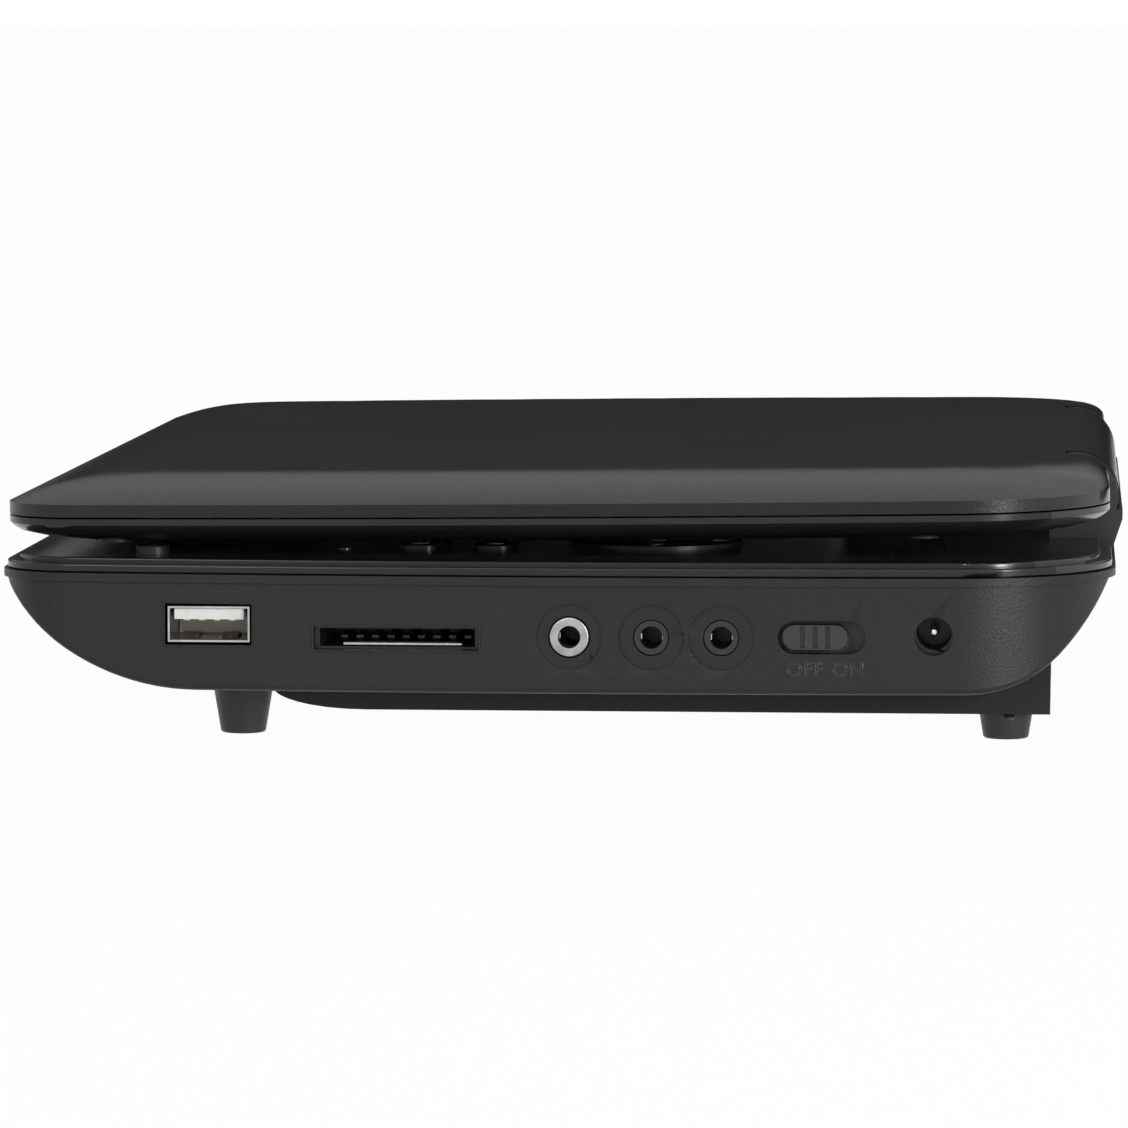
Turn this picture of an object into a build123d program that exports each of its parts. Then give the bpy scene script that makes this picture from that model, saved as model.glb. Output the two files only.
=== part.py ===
from build123d import *
import math
import os

os.makedirs("parts", exist_ok=True)

# A portable disc player: a base with a disc well, and a screen lid on a rear hinge.
# Millimetres. +X is the side with the sockets, -Y the front, +Y the hinge side, +Z up.
# The underside of the rubber feet is Z 0. Shapes are drawn closed, as the player is carried.

# ---------------------------------------------------------------- driving dimensions
# Plan outline of the base, at its widest band.
HALF_WIDTH = 117.6          # half the width where the sides meet the front and the rear
SIDE_BOW = 4.2              # how far each side bows out at its middle
FRONT_Y = -90.1
REAR_Y = 88.8
FRONT_CORNER_R = 13.0
REAR_CORNER_R = 27.0

# Heights of the base.
UNDER_Z = 8.4               # the flat underside of the base
SIDE_EDGE_R = 1.0           # rounding of the underside's edge
FRONT_SWEEP_R = 38.0        # the front rises from the underside in this arc
REAR_HEEL_R = 20.0          # the rear rises in two arcs, this one first
REAR_SWEEP_R = 40.0
SEAM_Z = 27.0               # parting line of bottom shell and deck
SEAM_GAP = 0.3
FLANGE_HEIGHT = 1.3
FLANGE_PROUD = 0.6
DECK_LIP_Z = 28.45
DECK_TOP_Z = 29.3
DECK_LIP_WIDTH = 2.0
DECK_THICK = 2.0
SHELL_WALL = 2.0

# Lid, measured in its own plane: 0 is the face round the screen.
LID_FRONT_Y = FRONT_Y + 0.9
LID_REAR_Y = REAR_Y - 1.0
LID_RIM_BOTTOM = 2.9        # the rim stands this much above the face
LID_SEAM = 4.5
LID_RIM_TOP = 6.8
LID_THICK = 10.5
LID_SEAM_GAP = 0.3
LID_WALL = 1.8
CROWN_SIDE = 28.0           # width of the sloped band of the cover at the sides
CROWN_FRONT = 17.0
CROWN_REAR = 5.4
LID_TILT = 0.6              # closed, the lid leans forward by this many degrees

# Hinge.
HINGE_Y = REAR_Y - 6.4
HINGE_Z = 36.0
BARREL_R = 7.2
BARREL_BORE_R = 4.9
BARREL_HALF = 57.7
KNUCKLE_R = 7.0
KNUCKLE_GAP = 0.4
KNUCKLE_WIDTH = 5.9
HUMP_HALF = BARREL_HALF + KNUCKLE_GAP + KNUCKLE_WIDTH
HUMP_TOP_Z = 33.8
HUMP_REAR_Y = REAR_Y + 1.3
TROUGH_GAP = 0.3
PIN_R = 2.0
RUNNING_GAP = 0.05
FIT_GAP = 0.2
PART_GAP = 0.3

# Disc well and door.
WELL_X = -16.0
WELL_Y = -6.0
WELL_R = 62.0
WELL_WALL = 1.6
WELL_FLOOR_Z = 21.0
WELL_FLOOR_THICK = 1.5
DOOR_R = WELL_R + 4.0
DOOR_GAP = 0.6
DOOR_THICK = 1.5
DOOR_PROUD = 0.3
DOOR_AXIS_Y = WELL_Y + WELL_R + 10.0
DOOR_AXIS_Z = 26.2
DOOR_ARM_X = 30.0
DOOR_ARM_WIDTH = 6.0

# Sockets on the +X side: centre (y, z), sizes along y and z.
DATA_PORT = (-55.4, 19.0)
DATA_PORT_SIZE = (14.0, 6.6)
DATA_SHELL_SIZE = (13.1, 5.7)
DATA_SHELL_SHEET = 0.3
DATA_SHELL_DEPTH = 14.0
CARD_SLOT = (-25.3, 17.05)
CARD_SLOT_SIZE = (26.4, 3.7)
CARD_SOCKET_DEPTH = 26.0
HEADPHONE_JACK = (2.3, 17.5)
AV_OUT_JACK = (15.3, 17.45)
AV_IN_JACK = (26.4, 17.45)
JACK_BORE_R = 1.8
JACK_NOSE_R = 2.7
JACK_DEPTH = 12.0
NUT_R = 3.15
POWER_SWITCH = (42.3, 17.6)
SWITCH_SLOT_SIZE = (13.9, 5.3)
SWITCH_KNOB_SIZE = (10.3, 3.9)
SWITCH_KNOB_Y = 41.25
SWITCH_TRAVEL = 2.5
DC_INLET = (60.0, 17.8)
DC_HOLE_R = 3.05
DC_BORE_R = 2.8
DC_PIN_R = 0.8
RECESS_R = 5.2
RECESS_DEPTH = 0.4

# Boards and battery.
BOARD_TOP_Z = 14.2
BOARD_THICK = 1.6
BOARD_X = (HALF_WIDTH - 61.6, HALF_WIDTH - 4.1)
BOARD_Y = (FRONT_Y + 21.1, REAR_Y - 26.8)
BATTERY_HALF = HALF_WIDTH - 10.1
BATTERY_Y = (FRONT_Y + 43.6, REAR_Y - 10.4)
BATTERY_Z = (4.3, 9.5)
BATTERY_HEEL_Y = BATTERY_Y[1] - 12.0
BATTERY_HEEL_Z = 13.0
BATTERY_WALL = 0.9
RECESS_WALL = 1.5

# Feet: the front pair stands under the base, the rear pair under the battery.
FOOT_X = BATTERY_HALF - 5.5
FOOT_FRONT_Y = BATTERY_Y[0] - 5.4
FOOT_REAR_Y = BATTERY_Y[1] - 7.1
FOOT_R = 3.6                # on the table
FOOT_FLARE = 0.165          # growth of the radius for each millimetre of height

# Keys on the deck.
PAD_X = HALF_WIDTH - 35.6
PAD_Y = 14.0
PAD_R = 14.0
ENTER_R = 5.6
KEY_SIZE = (12.0, 6.0)
KEY_ROWS = (-12.0, -24.0)
KEY_COLUMNS = (-9.0, 9.0)
KEY_PROUD = 0.6
KEY_TRAVEL = 0.6
KEY_GAP = 0.25
KEY_BOARD_TOP_Z = 23.9

# Screen.
SCREEN_SIZE = (2 * HALF_WIDTH - 37.2, LID_REAR_Y - LID_FRONT_Y - 65.0)
SCREEN_Y = LID_FRONT_Y + 19.2 + SCREEN_SIZE[1] / 2

WIDE = 400.0                # longer than the player, for cuts that run right through


# ---------------------------------------------------------------- small helpers
def block(x, y, z):
    """A box between the pairs of limits x, y and z."""
    low = [min(v) for v in (x, y, z)]
    size = [abs(v[1] - v[0]) for v in (x, y, z)]
    middle = [a + b / 2 for a, b in zip(low, size)]
    return Pos(*middle) * Box(*size)


def post(x, y, z, r, r_top=None):
    """An upright cylinder or cone between the heights z."""
    height = z[1] - z[0]
    place = Pos(x, y, z[0] + height / 2)
    if r_top is None:
        return place * Cylinder(r, height)
    return place * Cone(r, r_top, height)


def bar_x(x, y, z, r):
    """A round bar along X between the limits x."""
    return Pos((x[0] + x[1]) / 2, y, z) * Rot(0, 90, 0) * Cylinder(r, x[1] - x[0])


def side_profile(points_face, x):
    """A face drawn in the YZ plane, run along X between the limits x."""
    return Pos(x[0], 0, 0) * extrude(Plane.YZ * points_face, x[1] - x[0])


def outline(half, front, rear, bow=SIDE_BOW, r_front=FRONT_CORNER_R, r_rear=REAR_CORNER_R):
    """The plan shape: straight front and rear, bowed sides, four round corners."""
    middle = (front + rear) / 2
    face = make_face([
        Line((-half, front), (half, front)),
        ThreePointArc((half, front), (half + bow, middle), (half, rear)),
        Line((half, rear), (-half, rear)),
        ThreePointArc((-half, rear), (-half - bow, middle), (-half, front)),
    ])
    corners = face.vertices().sort_by(Axis.Y)
    face = fillet(corners[:2], r_front)
    return fillet(face.vertices().sort_by(Axis.Y)[-2:], r_rear)


def base_outline(inset=0.0):
    return outline(
        HALF_WIDTH - inset, FRONT_Y + inset, REAR_Y - inset,
        r_front=FRONT_CORNER_R - inset, r_rear=REAR_CORNER_R - inset,
    )


def slab(face, z):
    """A plan face made solid between the heights z."""
    return Pos(0, 0, z[0]) * extrude(face, z[1] - z[0])


def side_x(y, inset=0.0):
    """X of the base's +X side at y, on the bowed side."""
    reach = (REAR_Y - FRONT_Y) / 2
    radius = (reach ** 2 + SIDE_BOW ** 2) / (2 * SIDE_BOW)
    off = y - (REAR_Y + FRONT_Y) / 2
    return HALF_WIDTH + SIDE_BOW - radius + math.sqrt(radius ** 2 - off ** 2) - inset


def slot_x(y, z, size, x):
    """An obround bar along X: size is its length along Y and its height."""
    half = (size[0] - size[1]) / 2
    body = block(x, (y - half, y + half), (z - size[1] / 2, z + size[1] / 2))
    return body + bar_x(x, y - half, z, size[1] / 2) + bar_x(x, y + half, z, size[1] / 2)


def window_x(centre, size, x):
    """A rectangular bar along X about a socket's centre (y, z)."""
    y, z = centre
    return block(x, (y - size[0] / 2, y + size[0] / 2), (z - size[1] / 2, z + size[1] / 2))


def pan_screw(x, y, z, r=1.2, length=6.0, head_r=2.4, head=1.4):
    """A screw whose head's underside is at z, with its shank going up."""
    shank = post(x, y, (z, z + length), r)
    cap = post(x, y, (z - head, z), head_r)
    drive = post(x, y, (z - head, z - head / 2), r * 0.6)
    return shank + cap - drive


def write(name, *solids):
    shape = solids[0] if len(solids) == 1 else Compound(children=[s for s in solids])
    export_step(shape, f"parts/{name}.step")


def lid_place(shape):
    """Turns a lid piece from its own plane to where it lies closed."""
    hinge = Pos(0, HINGE_Y, HINGE_Z)
    return hinge * Rot(LID_TILT, 0, 0) * Pos(0, -HINGE_Y, -HINGE_Z) * Pos(0, 0, LID_FACE_Z) * shape


# The lid's face lies this high at the hinge, so that the cover's top meets the barrel's top.
LID_FACE_Z = HINGE_Z + BARREL_R - LID_THICK
AXIS_IN_LID = HINGE_Z - LID_FACE_Z

# Heights that several pieces share.
DECK_UNDER_Z = DECK_TOP_Z - DECK_THICK
FLOOR_Z = UNDER_Z + SHELL_WALL
FLANGE_Z = SEAM_Z - FLANGE_HEIGHT
WALL_INSET = FLANGE_PROUD
BATTERY_ROOF_Z = BATTERY_Z[1] + PART_GAP
HEEL_ROOF_Z = BATTERY_HEEL_Z + PART_GAP
FLOOR_TOP_Z = BATTERY_ROOF_Z + RECESS_WALL


# ---------------------------------------------------------------- bottom shell
def base_profile(inset=0.0):
    """The base seen from the side: flat underside, one front arc, two rear arcs."""
    under = UNDER_Z + inset
    sweep = FRONT_SWEEP_R - inset
    sweep_top = UNDER_Z + FRONT_SWEEP_R
    turn = math.acos((sweep_top - FLANGE_Z) / sweep)
    front_centre = FRONT_Y + WALL_INSET + FRONT_SWEEP_R * math.sin(
        math.acos((sweep_top - FLANGE_Z) / FRONT_SWEEP_R))
    front = (front_centre - sweep * math.sin(turn), FLANGE_Z)
    front_mid = (front_centre - sweep * math.sin(turn / 2), sweep_top - sweep * math.cos(turn / 2))

    heel, rise = REAR_HEEL_R - inset, REAR_SWEEP_R - inset
    half_turn = math.radians(45)
    # the two rear arcs share a tangent where the wall stands at 45 degrees
    rise_y = REAR_Y - 0.1 - REAR_SWEEP_R * math.sin(math.radians(68.5))
    step = (REAR_SWEEP_R - REAR_HEEL_R) * math.sin(half_turn)
    heel_y = rise_y + step
    heel_z = UNDER_Z + REAR_HEEL_R
    rise_z = heel_z + (REAR_SWEEP_R - REAR_HEEL_R) * math.cos(half_turn)
    joint = (heel_y + heel * math.sin(half_turn), heel_z - heel * math.cos(half_turn))
    heel_mid = (heel_y + heel * math.sin(half_turn / 2), heel_z - heel * math.cos(half_turn / 2))
    top_turn = math.acos((rise_z - SEAM_Z) / rise)
    rear = (rise_y + rise * math.sin(top_turn), SEAM_Z)
    rear_mid_turn = (half_turn + top_turn) / 2
    rear_mid = (rise_y + rise * math.sin(rear_mid_turn), rise_z - rise * math.cos(rear_mid_turn))
    return make_face([
        Line((heel_y, under), (front_centre, under)),
        ThreePointArc((front_centre, under), front_mid, front),
        Line(front, (front[0] - 1, FLANGE_Z)),
        Line((front[0] - 1, FLANGE_Z), (front[0] - 1, SEAM_Z + 5)),
        Line((front[0] - 1, SEAM_Z + 5), (rear[0], SEAM_Z + 5)),
        Line((rear[0], SEAM_Z + 5), rear),
        ThreePointArc(rear, rear_mid, joint),
        ThreePointArc(joint, heel_mid, (heel_y, under)),
    ])


def base_body(inset=0.0):
    """The base's outer form, or the hollow inside it, cut off at the seam."""
    form = slab(base_outline(WALL_INSET + inset), (UNDER_Z + inset, SEAM_Z))
    return form & side_profile(base_profile(inset), (-WIDE / 2, WIDE / 2))


# The edge where the side walls turn under is rounded from the front to the rear.
plain_form = base_body()
under_edges = [e for e in plain_form.edges()
               if e.center().Z < FLANGE_Z - 1.5 and abs(e.center().X) > HALF_WIDTH - 27.6]
flange_band = slab(base_outline(), (FLANGE_Z, SEAM_Z)) - slab(
    base_outline(WALL_INSET + SHELL_WALL), (FLANGE_Z - 1, SEAM_Z + 1))
outer_form = fillet(under_edges, SIDE_EDGE_R) + flange_band
hollow = base_body(SHELL_WALL)
hollow = hollow + Pos(0, 0, 0.01) * slab(
    base_outline(WALL_INSET + SHELL_WALL), (FLANGE_Z, SEAM_Z + 1)) & block(
    (-WIDE, WIDE), (-WIDE, WIDE), (0, SEAM_Z + 2))

battery_room = block(
    (-BATTERY_HALF - PART_GAP, BATTERY_HALF + PART_GAP),
    (BATTERY_Y[0] - PART_GAP, WIDE / 2), (0, BATTERY_ROOF_Z))
battery_room += block(
    (-BATTERY_HALF - PART_GAP, BATTERY_HALF + PART_GAP),
    (BATTERY_HEEL_Y - PART_GAP, BATTERY_Y[1] + PART_GAP), (0, HEEL_ROOF_Z))
# a toe on the battery's front, for the latch, has its own room in the floor
LATCH_X = 30.0
LATCH_TONGUE = 10.0
TOE_HALF = LATCH_TONGUE / 2 + 2.0
TOE_Y = (BATTERY_Y[0], BATTERY_Y[0] + 4.5)
TOE_Z = BATTERY_Z[1] + 2.3
battery_room += block(
    (LATCH_X - TOE_HALF - PART_GAP, LATCH_X + TOE_HALF + PART_GAP),
    (TOE_Y[0] - PART_GAP, TOE_Y[1] + PART_GAP), (0, TOE_Z + PART_GAP))
battery_walls = block(
    (-BATTERY_HALF - RECESS_WALL, BATTERY_HALF + RECESS_WALL),
    (BATTERY_Y[0] - RECESS_WALL, WIDE / 2), (0, FLOOR_TOP_Z))
battery_walls += block(
    (-BATTERY_HALF - RECESS_WALL, BATTERY_HALF + RECESS_WALL),
    (BATTERY_HEEL_Y - RECESS_WALL - PART_GAP, WIDE / 2), (0, HEEL_ROOF_Z + RECESS_WALL))
battery_walls += block(
    (LATCH_X - TOE_HALF - RECESS_WALL, LATCH_X + TOE_HALF + RECESS_WALL),
    (TOE_Y[0] - RECESS_WALL, TOE_Y[1] + RECESS_WALL), (0, TOE_Z + RECESS_WALL))
bottom_shell = outer_form - (hollow - battery_walls) - battery_room


def floor_at(x, y):
    """Height of the shell's inner floor: raised over the battery and over its heel."""
    if abs(x) > BATTERY_HALF or y < BATTERY_Y[0]:
        return FLOOR_Z
    return HEEL_ROOF_Z + RECESS_WALL if y > BATTERY_HEEL_Y - RECESS_WALL else FLOOR_TOP_Z


# Bosses: the front feet are pegged into two, the deck is screwed to seven.
FOOT_PEG_R = 1.9
FOOT_BOSS_R = 3.7
for x in (-FOOT_X, FOOT_X):
    bottom_shell += post(x, FOOT_FRONT_Y, (UNDER_Z, FLOOR_Z + 2), FOOT_BOSS_R)
    bottom_shell -= post(x, FOOT_FRONT_Y, (UNDER_Z - 1, FLOOR_Z + 1), FOOT_PEG_R + FIT_GAP)

SCREW_X = HALF_WIDTH - 17.6
SCREW_PLACES = [
    (-SCREW_X, FRONT_Y + 24.1), (SCREW_X, FRONT_Y + 24.1), (-SCREW_X - 6.0, 12.0),
    (-SCREW_X, REAR_Y - 30.8),
    (WELL_X - 34.0, FRONT_Y + 17.1), (-30.0, HINGE_Y - 9.9), (30.0, HINGE_Y - 9.9)]
BOSS_R = 3.4
SCREW_R = 1.3
SCREW_SEAT_Z = 15.0
screw_solids = []
deck_bosses = []
for x, y in SCREW_PLACES:
    bottom_shell += post(x, y, (floor_at(x, y) - 0.5, SCREW_SEAT_Z + 2), BOSS_R) & outer_form
    bottom_shell -= post(x, y, (0, SCREW_SEAT_Z), 2.6)
    bottom_shell -= post(x, y, (0, SCREW_SEAT_Z + 3), SCREW_R + FIT_GAP)
    bottom_shell -= battery_room
    screw_solids.append(pan_screw(x, y, SCREW_SEAT_Z, r=SCREW_R, length=7.0))
    deck_bosses.append(
        post(x, y, (SCREW_SEAT_Z + 2, DECK_UNDER_Z + 0.5), BOSS_R)
        - post(x, y, (SCREW_SEAT_Z, SCREW_SEAT_Z + 8), SCREW_R + RUNNING_GAP))

# The traverse lies left of the hub, on four rubber grommets.
TRAVERSE_X = (WELL_X - 72.0, WELL_X + 22.0)
TRAVERSE_HALF = 33.0
TRAVERSE_Z = (13.0, 14.6)
GROMMET_R = 4.0
GROMMET_REACH = 38.0
GROMMET_PLACES = [(x, WELL_Y + sy * GROMMET_REACH)
                  for x in (TRAVERSE_X[0] + 12, TRAVERSE_X[1] - 8) for sy in (-1, 1)]
GROMMET_POST_R = 1.8
GROMMET_FLANGE = 0.8
for x, y in GROMMET_PLACES:
    floor = floor_at(x, y)
    bottom_shell += post(x, y, (floor - 0.5, TRAVERSE_Z[0] - GROMMET_FLANGE), GROMMET_R)
    bottom_shell += post(x, y, (floor - 0.5, TRAVERSE_Z[1] + GROMMET_FLANGE + 0.5), GROMMET_POST_R)

# Board pillars stand on the floor of the shell.
BOARD_PILLARS = [(x, y) for x in (BOARD_X[0] + 4, BOARD_X[1] - 30)
                 for y in (BOARD_Y[0] + 6, BOARD_Y[1] - 6)]
for x, y in BOARD_PILLARS:
    floor = floor_at(x, y)
    bottom_shell += post(x, y, (floor - 0.5, BOARD_TOP_Z - BOARD_THICK), 3.0)
    bottom_shell -= post(x, y, (floor + 0.2, BOARD_TOP_Z), SCREW_R + RUNNING_GAP)

# Openings of the +X wall, each with its shallow ring or bevel.
for jack in (HEADPHONE_JACK, AV_OUT_JACK, AV_IN_JACK):
    face_x = side_x(jack[0], WALL_INSET)
    bottom_shell -= bar_x((face_x - RECESS_DEPTH, face_x + 5), *jack, RECESS_R)
nut_face_x = side_x(HEADPHONE_JACK[0], WALL_INSET)
bottom_shell -= bar_x((nut_face_x - 5, nut_face_x + 5), *HEADPHONE_JACK, NUT_R + FIT_GAP)
for jack in (AV_OUT_JACK, AV_IN_JACK):
    bottom_shell -= bar_x((nut_face_x - 6, nut_face_x + 5), *jack, JACK_NOSE_R + FIT_GAP)
wall_cut = (side_x(REAR_Y, WALL_INSET) - 8, WIDE / 2)
bottom_shell -= window_x(DATA_PORT, DATA_PORT_SIZE, wall_cut)
bottom_shell -= window_x(CARD_SLOT, CARD_SLOT_SIZE, wall_cut)
bottom_shell -= slot_x(*POWER_SWITCH, SWITCH_SLOT_SIZE, wall_cut)
bottom_shell -= bar_x(wall_cut, *DC_INLET, DC_HOLE_R)

# The battery latch slides in this window in the floor, in front of the battery.
LATCH_PAD = (18.0, 7.0)
LATCH_Y = BATTERY_Y[0] - 9.5
LATCH_TRAVEL = 2.5
TONGUE_Z = (FLOOR_Z - 1.3, FLOOR_Z)
LATCH_PAD_X = (LATCH_X - LATCH_PAD[0] / 2, LATCH_X + LATCH_PAD[0] / 2)
TONGUE_X = (LATCH_X - LATCH_TONGUE / 2, LATCH_X + LATCH_TONGUE / 2)
latch_window = block(
    (LATCH_PAD_X[0] - PART_GAP, LATCH_PAD_X[1] + PART_GAP),
    (LATCH_Y - LATCH_PAD[1] / 2 - LATCH_TRAVEL - PART_GAP, LATCH_Y + LATCH_PAD[1] / 2 + PART_GAP),
    (0, FLOOR_Z + 1))
bottom_shell -= latch_window
latch_slot = block(
    (TONGUE_X[0] - PART_GAP, TONGUE_X[1] + PART_GAP),
    (LATCH_Y, BATTERY_Y[0] + 1), (TONGUE_Z[0] - PART_GAP, TONGUE_Z[1] + PART_GAP))
bottom_shell -= latch_slot
write("bottom_shell", bottom_shell)
write("shell_screws", *screw_solids)

# ---------------------------------------------------------------- feet
feet = []
for x in (-FOOT_X, FOOT_X):
    for y, top in ((FOOT_FRONT_Y, UNDER_Z), (FOOT_REAR_Y, BATTERY_Z[0])):
        foot = post(x, y, (0, top), FOOT_R, FOOT_R + top * FOOT_FLARE)
        foot = fillet(foot.edges().sort_by(Axis.Z)[0], 0.5)
        feet.append(foot + post(x, y, (top - 0.5, top + 2.2), FOOT_PEG_R))
write("rubber_feet", *feet)

# ---------------------------------------------------------------- battery and its latch
slab_front = BATTERY_Y[0]
case = block((-BATTERY_HALF, BATTERY_HALF), BATTERY_Y, BATTERY_Z)
case += block((-BATTERY_HALF, BATTERY_HALF), (BATTERY_HEEL_Y, BATTERY_Y[1]), (BATTERY_Z[0], BATTERY_HEEL_Z))
case += block((LATCH_X - TOE_HALF, LATCH_X + TOE_HALF), TOE_Y, (BATTERY_Z[0] + 1, TOE_Z))
for x in (-FOOT_X, FOOT_X):
    case -= post(x, FOOT_REAR_Y, (0, BATTERY_Z[0] + 2.5), FOOT_PEG_R + FIT_GAP)
# the front end of the slab curves up to the base
NOSE_Y, NOSE_Z = 15.0, 3.7
nose = Pos(0, slab_front + NOSE_Y, BATTERY_Z[0] + NOSE_Z) * Rot(0, 90, 0) * extrude(
    Ellipse(NOSE_Z, NOSE_Y), WIDE / 2, both=True)
nose_corner = block((-WIDE / 2, WIDE / 2), (slab_front - 1, slab_front + NOSE_Y),
                    (BATTERY_Z[0] - 1, BATTERY_Z[0] + NOSE_Z))
case -= nose_corner - nose
CELL_ROOM_Y = (slab_front + 16, BATTERY_HEEL_Y - 2)
CELL_COUNT = 3
cell_pitch = 2 * (BATTERY_HALF - 2) / CELL_COUNT
cell_z = (BATTERY_Z[0] + BATTERY_WALL, BATTERY_Z[1] - BATTERY_WALL)
cells = []
for i in range(CELL_COUNT):
    x0 = -BATTERY_HALF + 2 + i * cell_pitch
    room = block((x0 + 1, x0 + cell_pitch - 1), CELL_ROOM_Y, cell_z)
    case -= room
    cells.append(block((x0 + 1.3, x0 + cell_pitch - 1.3), (CELL_ROOM_Y[0] + 0.3, CELL_ROOM_Y[1] - 0.3),
                       (cell_z[0] + 0.2, cell_z[1] - 0.2)))
LATCH_REACH = 2.0
case -= block((TONGUE_X[0] - PART_GAP, TONGUE_X[1] + PART_GAP),
              (slab_front - 1, slab_front + LATCH_REACH + PART_GAP),
              (TONGUE_Z[0] - PART_GAP, TONGUE_Z[1] + PART_GAP))
# spring contacts in the case's heel meet a strip in the roof of the recess
CONTACT_COUNT = 5
CONTACT_PITCH = 5.0
contacts = []
for i in range(CONTACT_COUNT):
    x = (i - (CONTACT_COUNT - 1) / 2) * CONTACT_PITCH
    y = (BATTERY_HEEL_Y + BATTERY_Y[1]) / 2
    case -= block((x - 1.1, x + 1.1), (y - 3.1, y + 3.1), (BATTERY_HEEL_Z - 0.6, BATTERY_HEEL_Z + 1))
    contacts.append(block((x - 1, x + 1), (y - 3, y + 3), (BATTERY_HEEL_Z - 0.6, BATTERY_HEEL_Z + 0.1)))
write("battery_case", case)
write("battery_cells", *cells)
write("battery_contacts", *contacts)

pad_y = (LATCH_Y - LATCH_PAD[1] / 2, LATCH_Y + LATCH_PAD[1] / 2)
latch = block(LATCH_PAD_X, pad_y, (UNDER_Z + 0.2, FLOOR_Z + PART_GAP))
for i in range(4):
    y = LATCH_Y + (i - 1.5) * 1.6
    latch -= block((LATCH_PAD_X[0] + 2, LATCH_PAD_X[1] - 2), (y - 0.35, y + 0.35),
                   (UNDER_Z, UNDER_Z + 0.6))
latch += block(TONGUE_X, (LATCH_Y, slab_front + LATCH_REACH), TONGUE_Z)
latch += block((LATCH_PAD_X[0] - 2, LATCH_PAD_X[1] + 2), pad_y,
               (FLOOR_Z + PART_GAP, FLOOR_Z + PART_GAP + 1.2))
write("battery_latch", latch)

# ---------------------------------------------------------------- deck with the disc well
deck = slab(base_outline(FLANGE_PROUD), (SEAM_Z + SEAM_GAP, DECK_LIP_Z))
deck = fillet(deck.faces().sort_by(Axis.Z)[-1].edges(), 0.35)
plateau = slab(base_outline(FLANGE_PROUD + DECK_LIP_WIDTH), (DECK_UNDER_Z, DECK_TOP_Z))
deck += fillet(plateau.faces().sort_by(Axis.Z)[-1].edges(), 0.3)
# a locating rib goes down inside the bottom shell
RIB_INSET = WALL_INSET + SHELL_WALL + PART_GAP
rib = slab(base_outline(RIB_INSET), (SEAM_Z - 2.5, SEAM_Z + 0.5)) - slab(
    base_outline(RIB_INSET + 1.2), (SEAM_Z - 3, SEAM_Z + 0.4))
deck += rib & side_profile(base_profile(SHELL_WALL + PART_GAP), (-WIDE / 2, WIDE / 2))

# Rear hump: its rear wall is a thin lip round the lid's barrel.
hump_face = make_face(Polyline(
    (HINGE_Y - 8, DECK_UNDER_Z), (REAR_Y - 0.4, DECK_UNDER_Z), (REAR_Y + 0.5, 30.0),
    (HUMP_REAR_Y, 32.4), (HUMP_REAR_Y, HUMP_TOP_Z), (HINGE_Y - 8, HUMP_TOP_Z), close=True))
hump = side_profile(hump_face, (-HUMP_HALF, HUMP_HALF))
hump -= block((-WIDE, WIDE), (HINGE_Y - 9, HINGE_Y), (DECK_TOP_Z, HUMP_TOP_Z + 1))
# knuckles at both ends of the barrel, hollow for the steel brackets
KNUCKLE_X = (BARREL_HALF + KNUCKLE_GAP, HUMP_HALF)
NECK_HALF = 4.4
for side in (-1, 1):
    limits = sorted((side * KNUCKLE_X[0], side * KNUCKLE_X[1]))
    hump += block(limits, (HINGE_Y - NECK_HALF, HINGE_Y + NECK_HALF), (DECK_UNDER_Z, HINGE_Z))
    hump += bar_x(limits, HINGE_Y, HINGE_Z, KNUCKLE_R)
deck += hump
trough_x = (-BARREL_HALF - KNUCKLE_GAP, BARREL_HALF + KNUCKLE_GAP)
deck += block(trough_x, (HINGE_Y - 8, REAR_Y - RIB_INSET), (DECK_UNDER_Z - 1.3, DECK_UNDER_Z + 0.1))
deck -= bar_x(trough_x, HINGE_Y, HINGE_Z, BARREL_R + TROUGH_GAP)

# The well, its floor, the hub hole and the window for the pickup.
HUB_HOLE_R = 17.0
PICKUP_WINDOW = (WELL_R - 3.0, 17.0)   # reach along -X, half width along Y
well_under_z = WELL_FLOOR_Z - WELL_FLOOR_THICK
deck += post(WELL_X, WELL_Y, (well_under_z, DECK_UNDER_Z + 0.5), WELL_R + WELL_WALL)
deck -= post(WELL_X, WELL_Y, (WELL_FLOOR_Z, DECK_TOP_Z + 1), WELL_R)
door_seat_z = DECK_TOP_Z + DOOR_PROUD - DOOR_THICK - PART_GAP
deck -= post(WELL_X, WELL_Y, (door_seat_z, DECK_TOP_Z + 1), DOOR_R + DOOR_GAP)
deck -= post(WELL_X, WELL_Y, (well_under_z - 1, WELL_FLOOR_Z + 1), HUB_HOLE_R)
pickup_window = block((WELL_X - PICKUP_WINDOW[0], WELL_X),
                      (WELL_Y - PICKUP_WINDOW[1], WELL_Y + PICKUP_WINDOW[1]),
                      (well_under_z - 1, WELL_FLOOR_Z + 1))
deck -= pickup_window
# finger scoop at the front of the door
deck -= Pos(WELL_X, WELL_Y - DOOR_R - 1, DECK_TOP_Z + 3.5) * Sphere(5.2)

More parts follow.
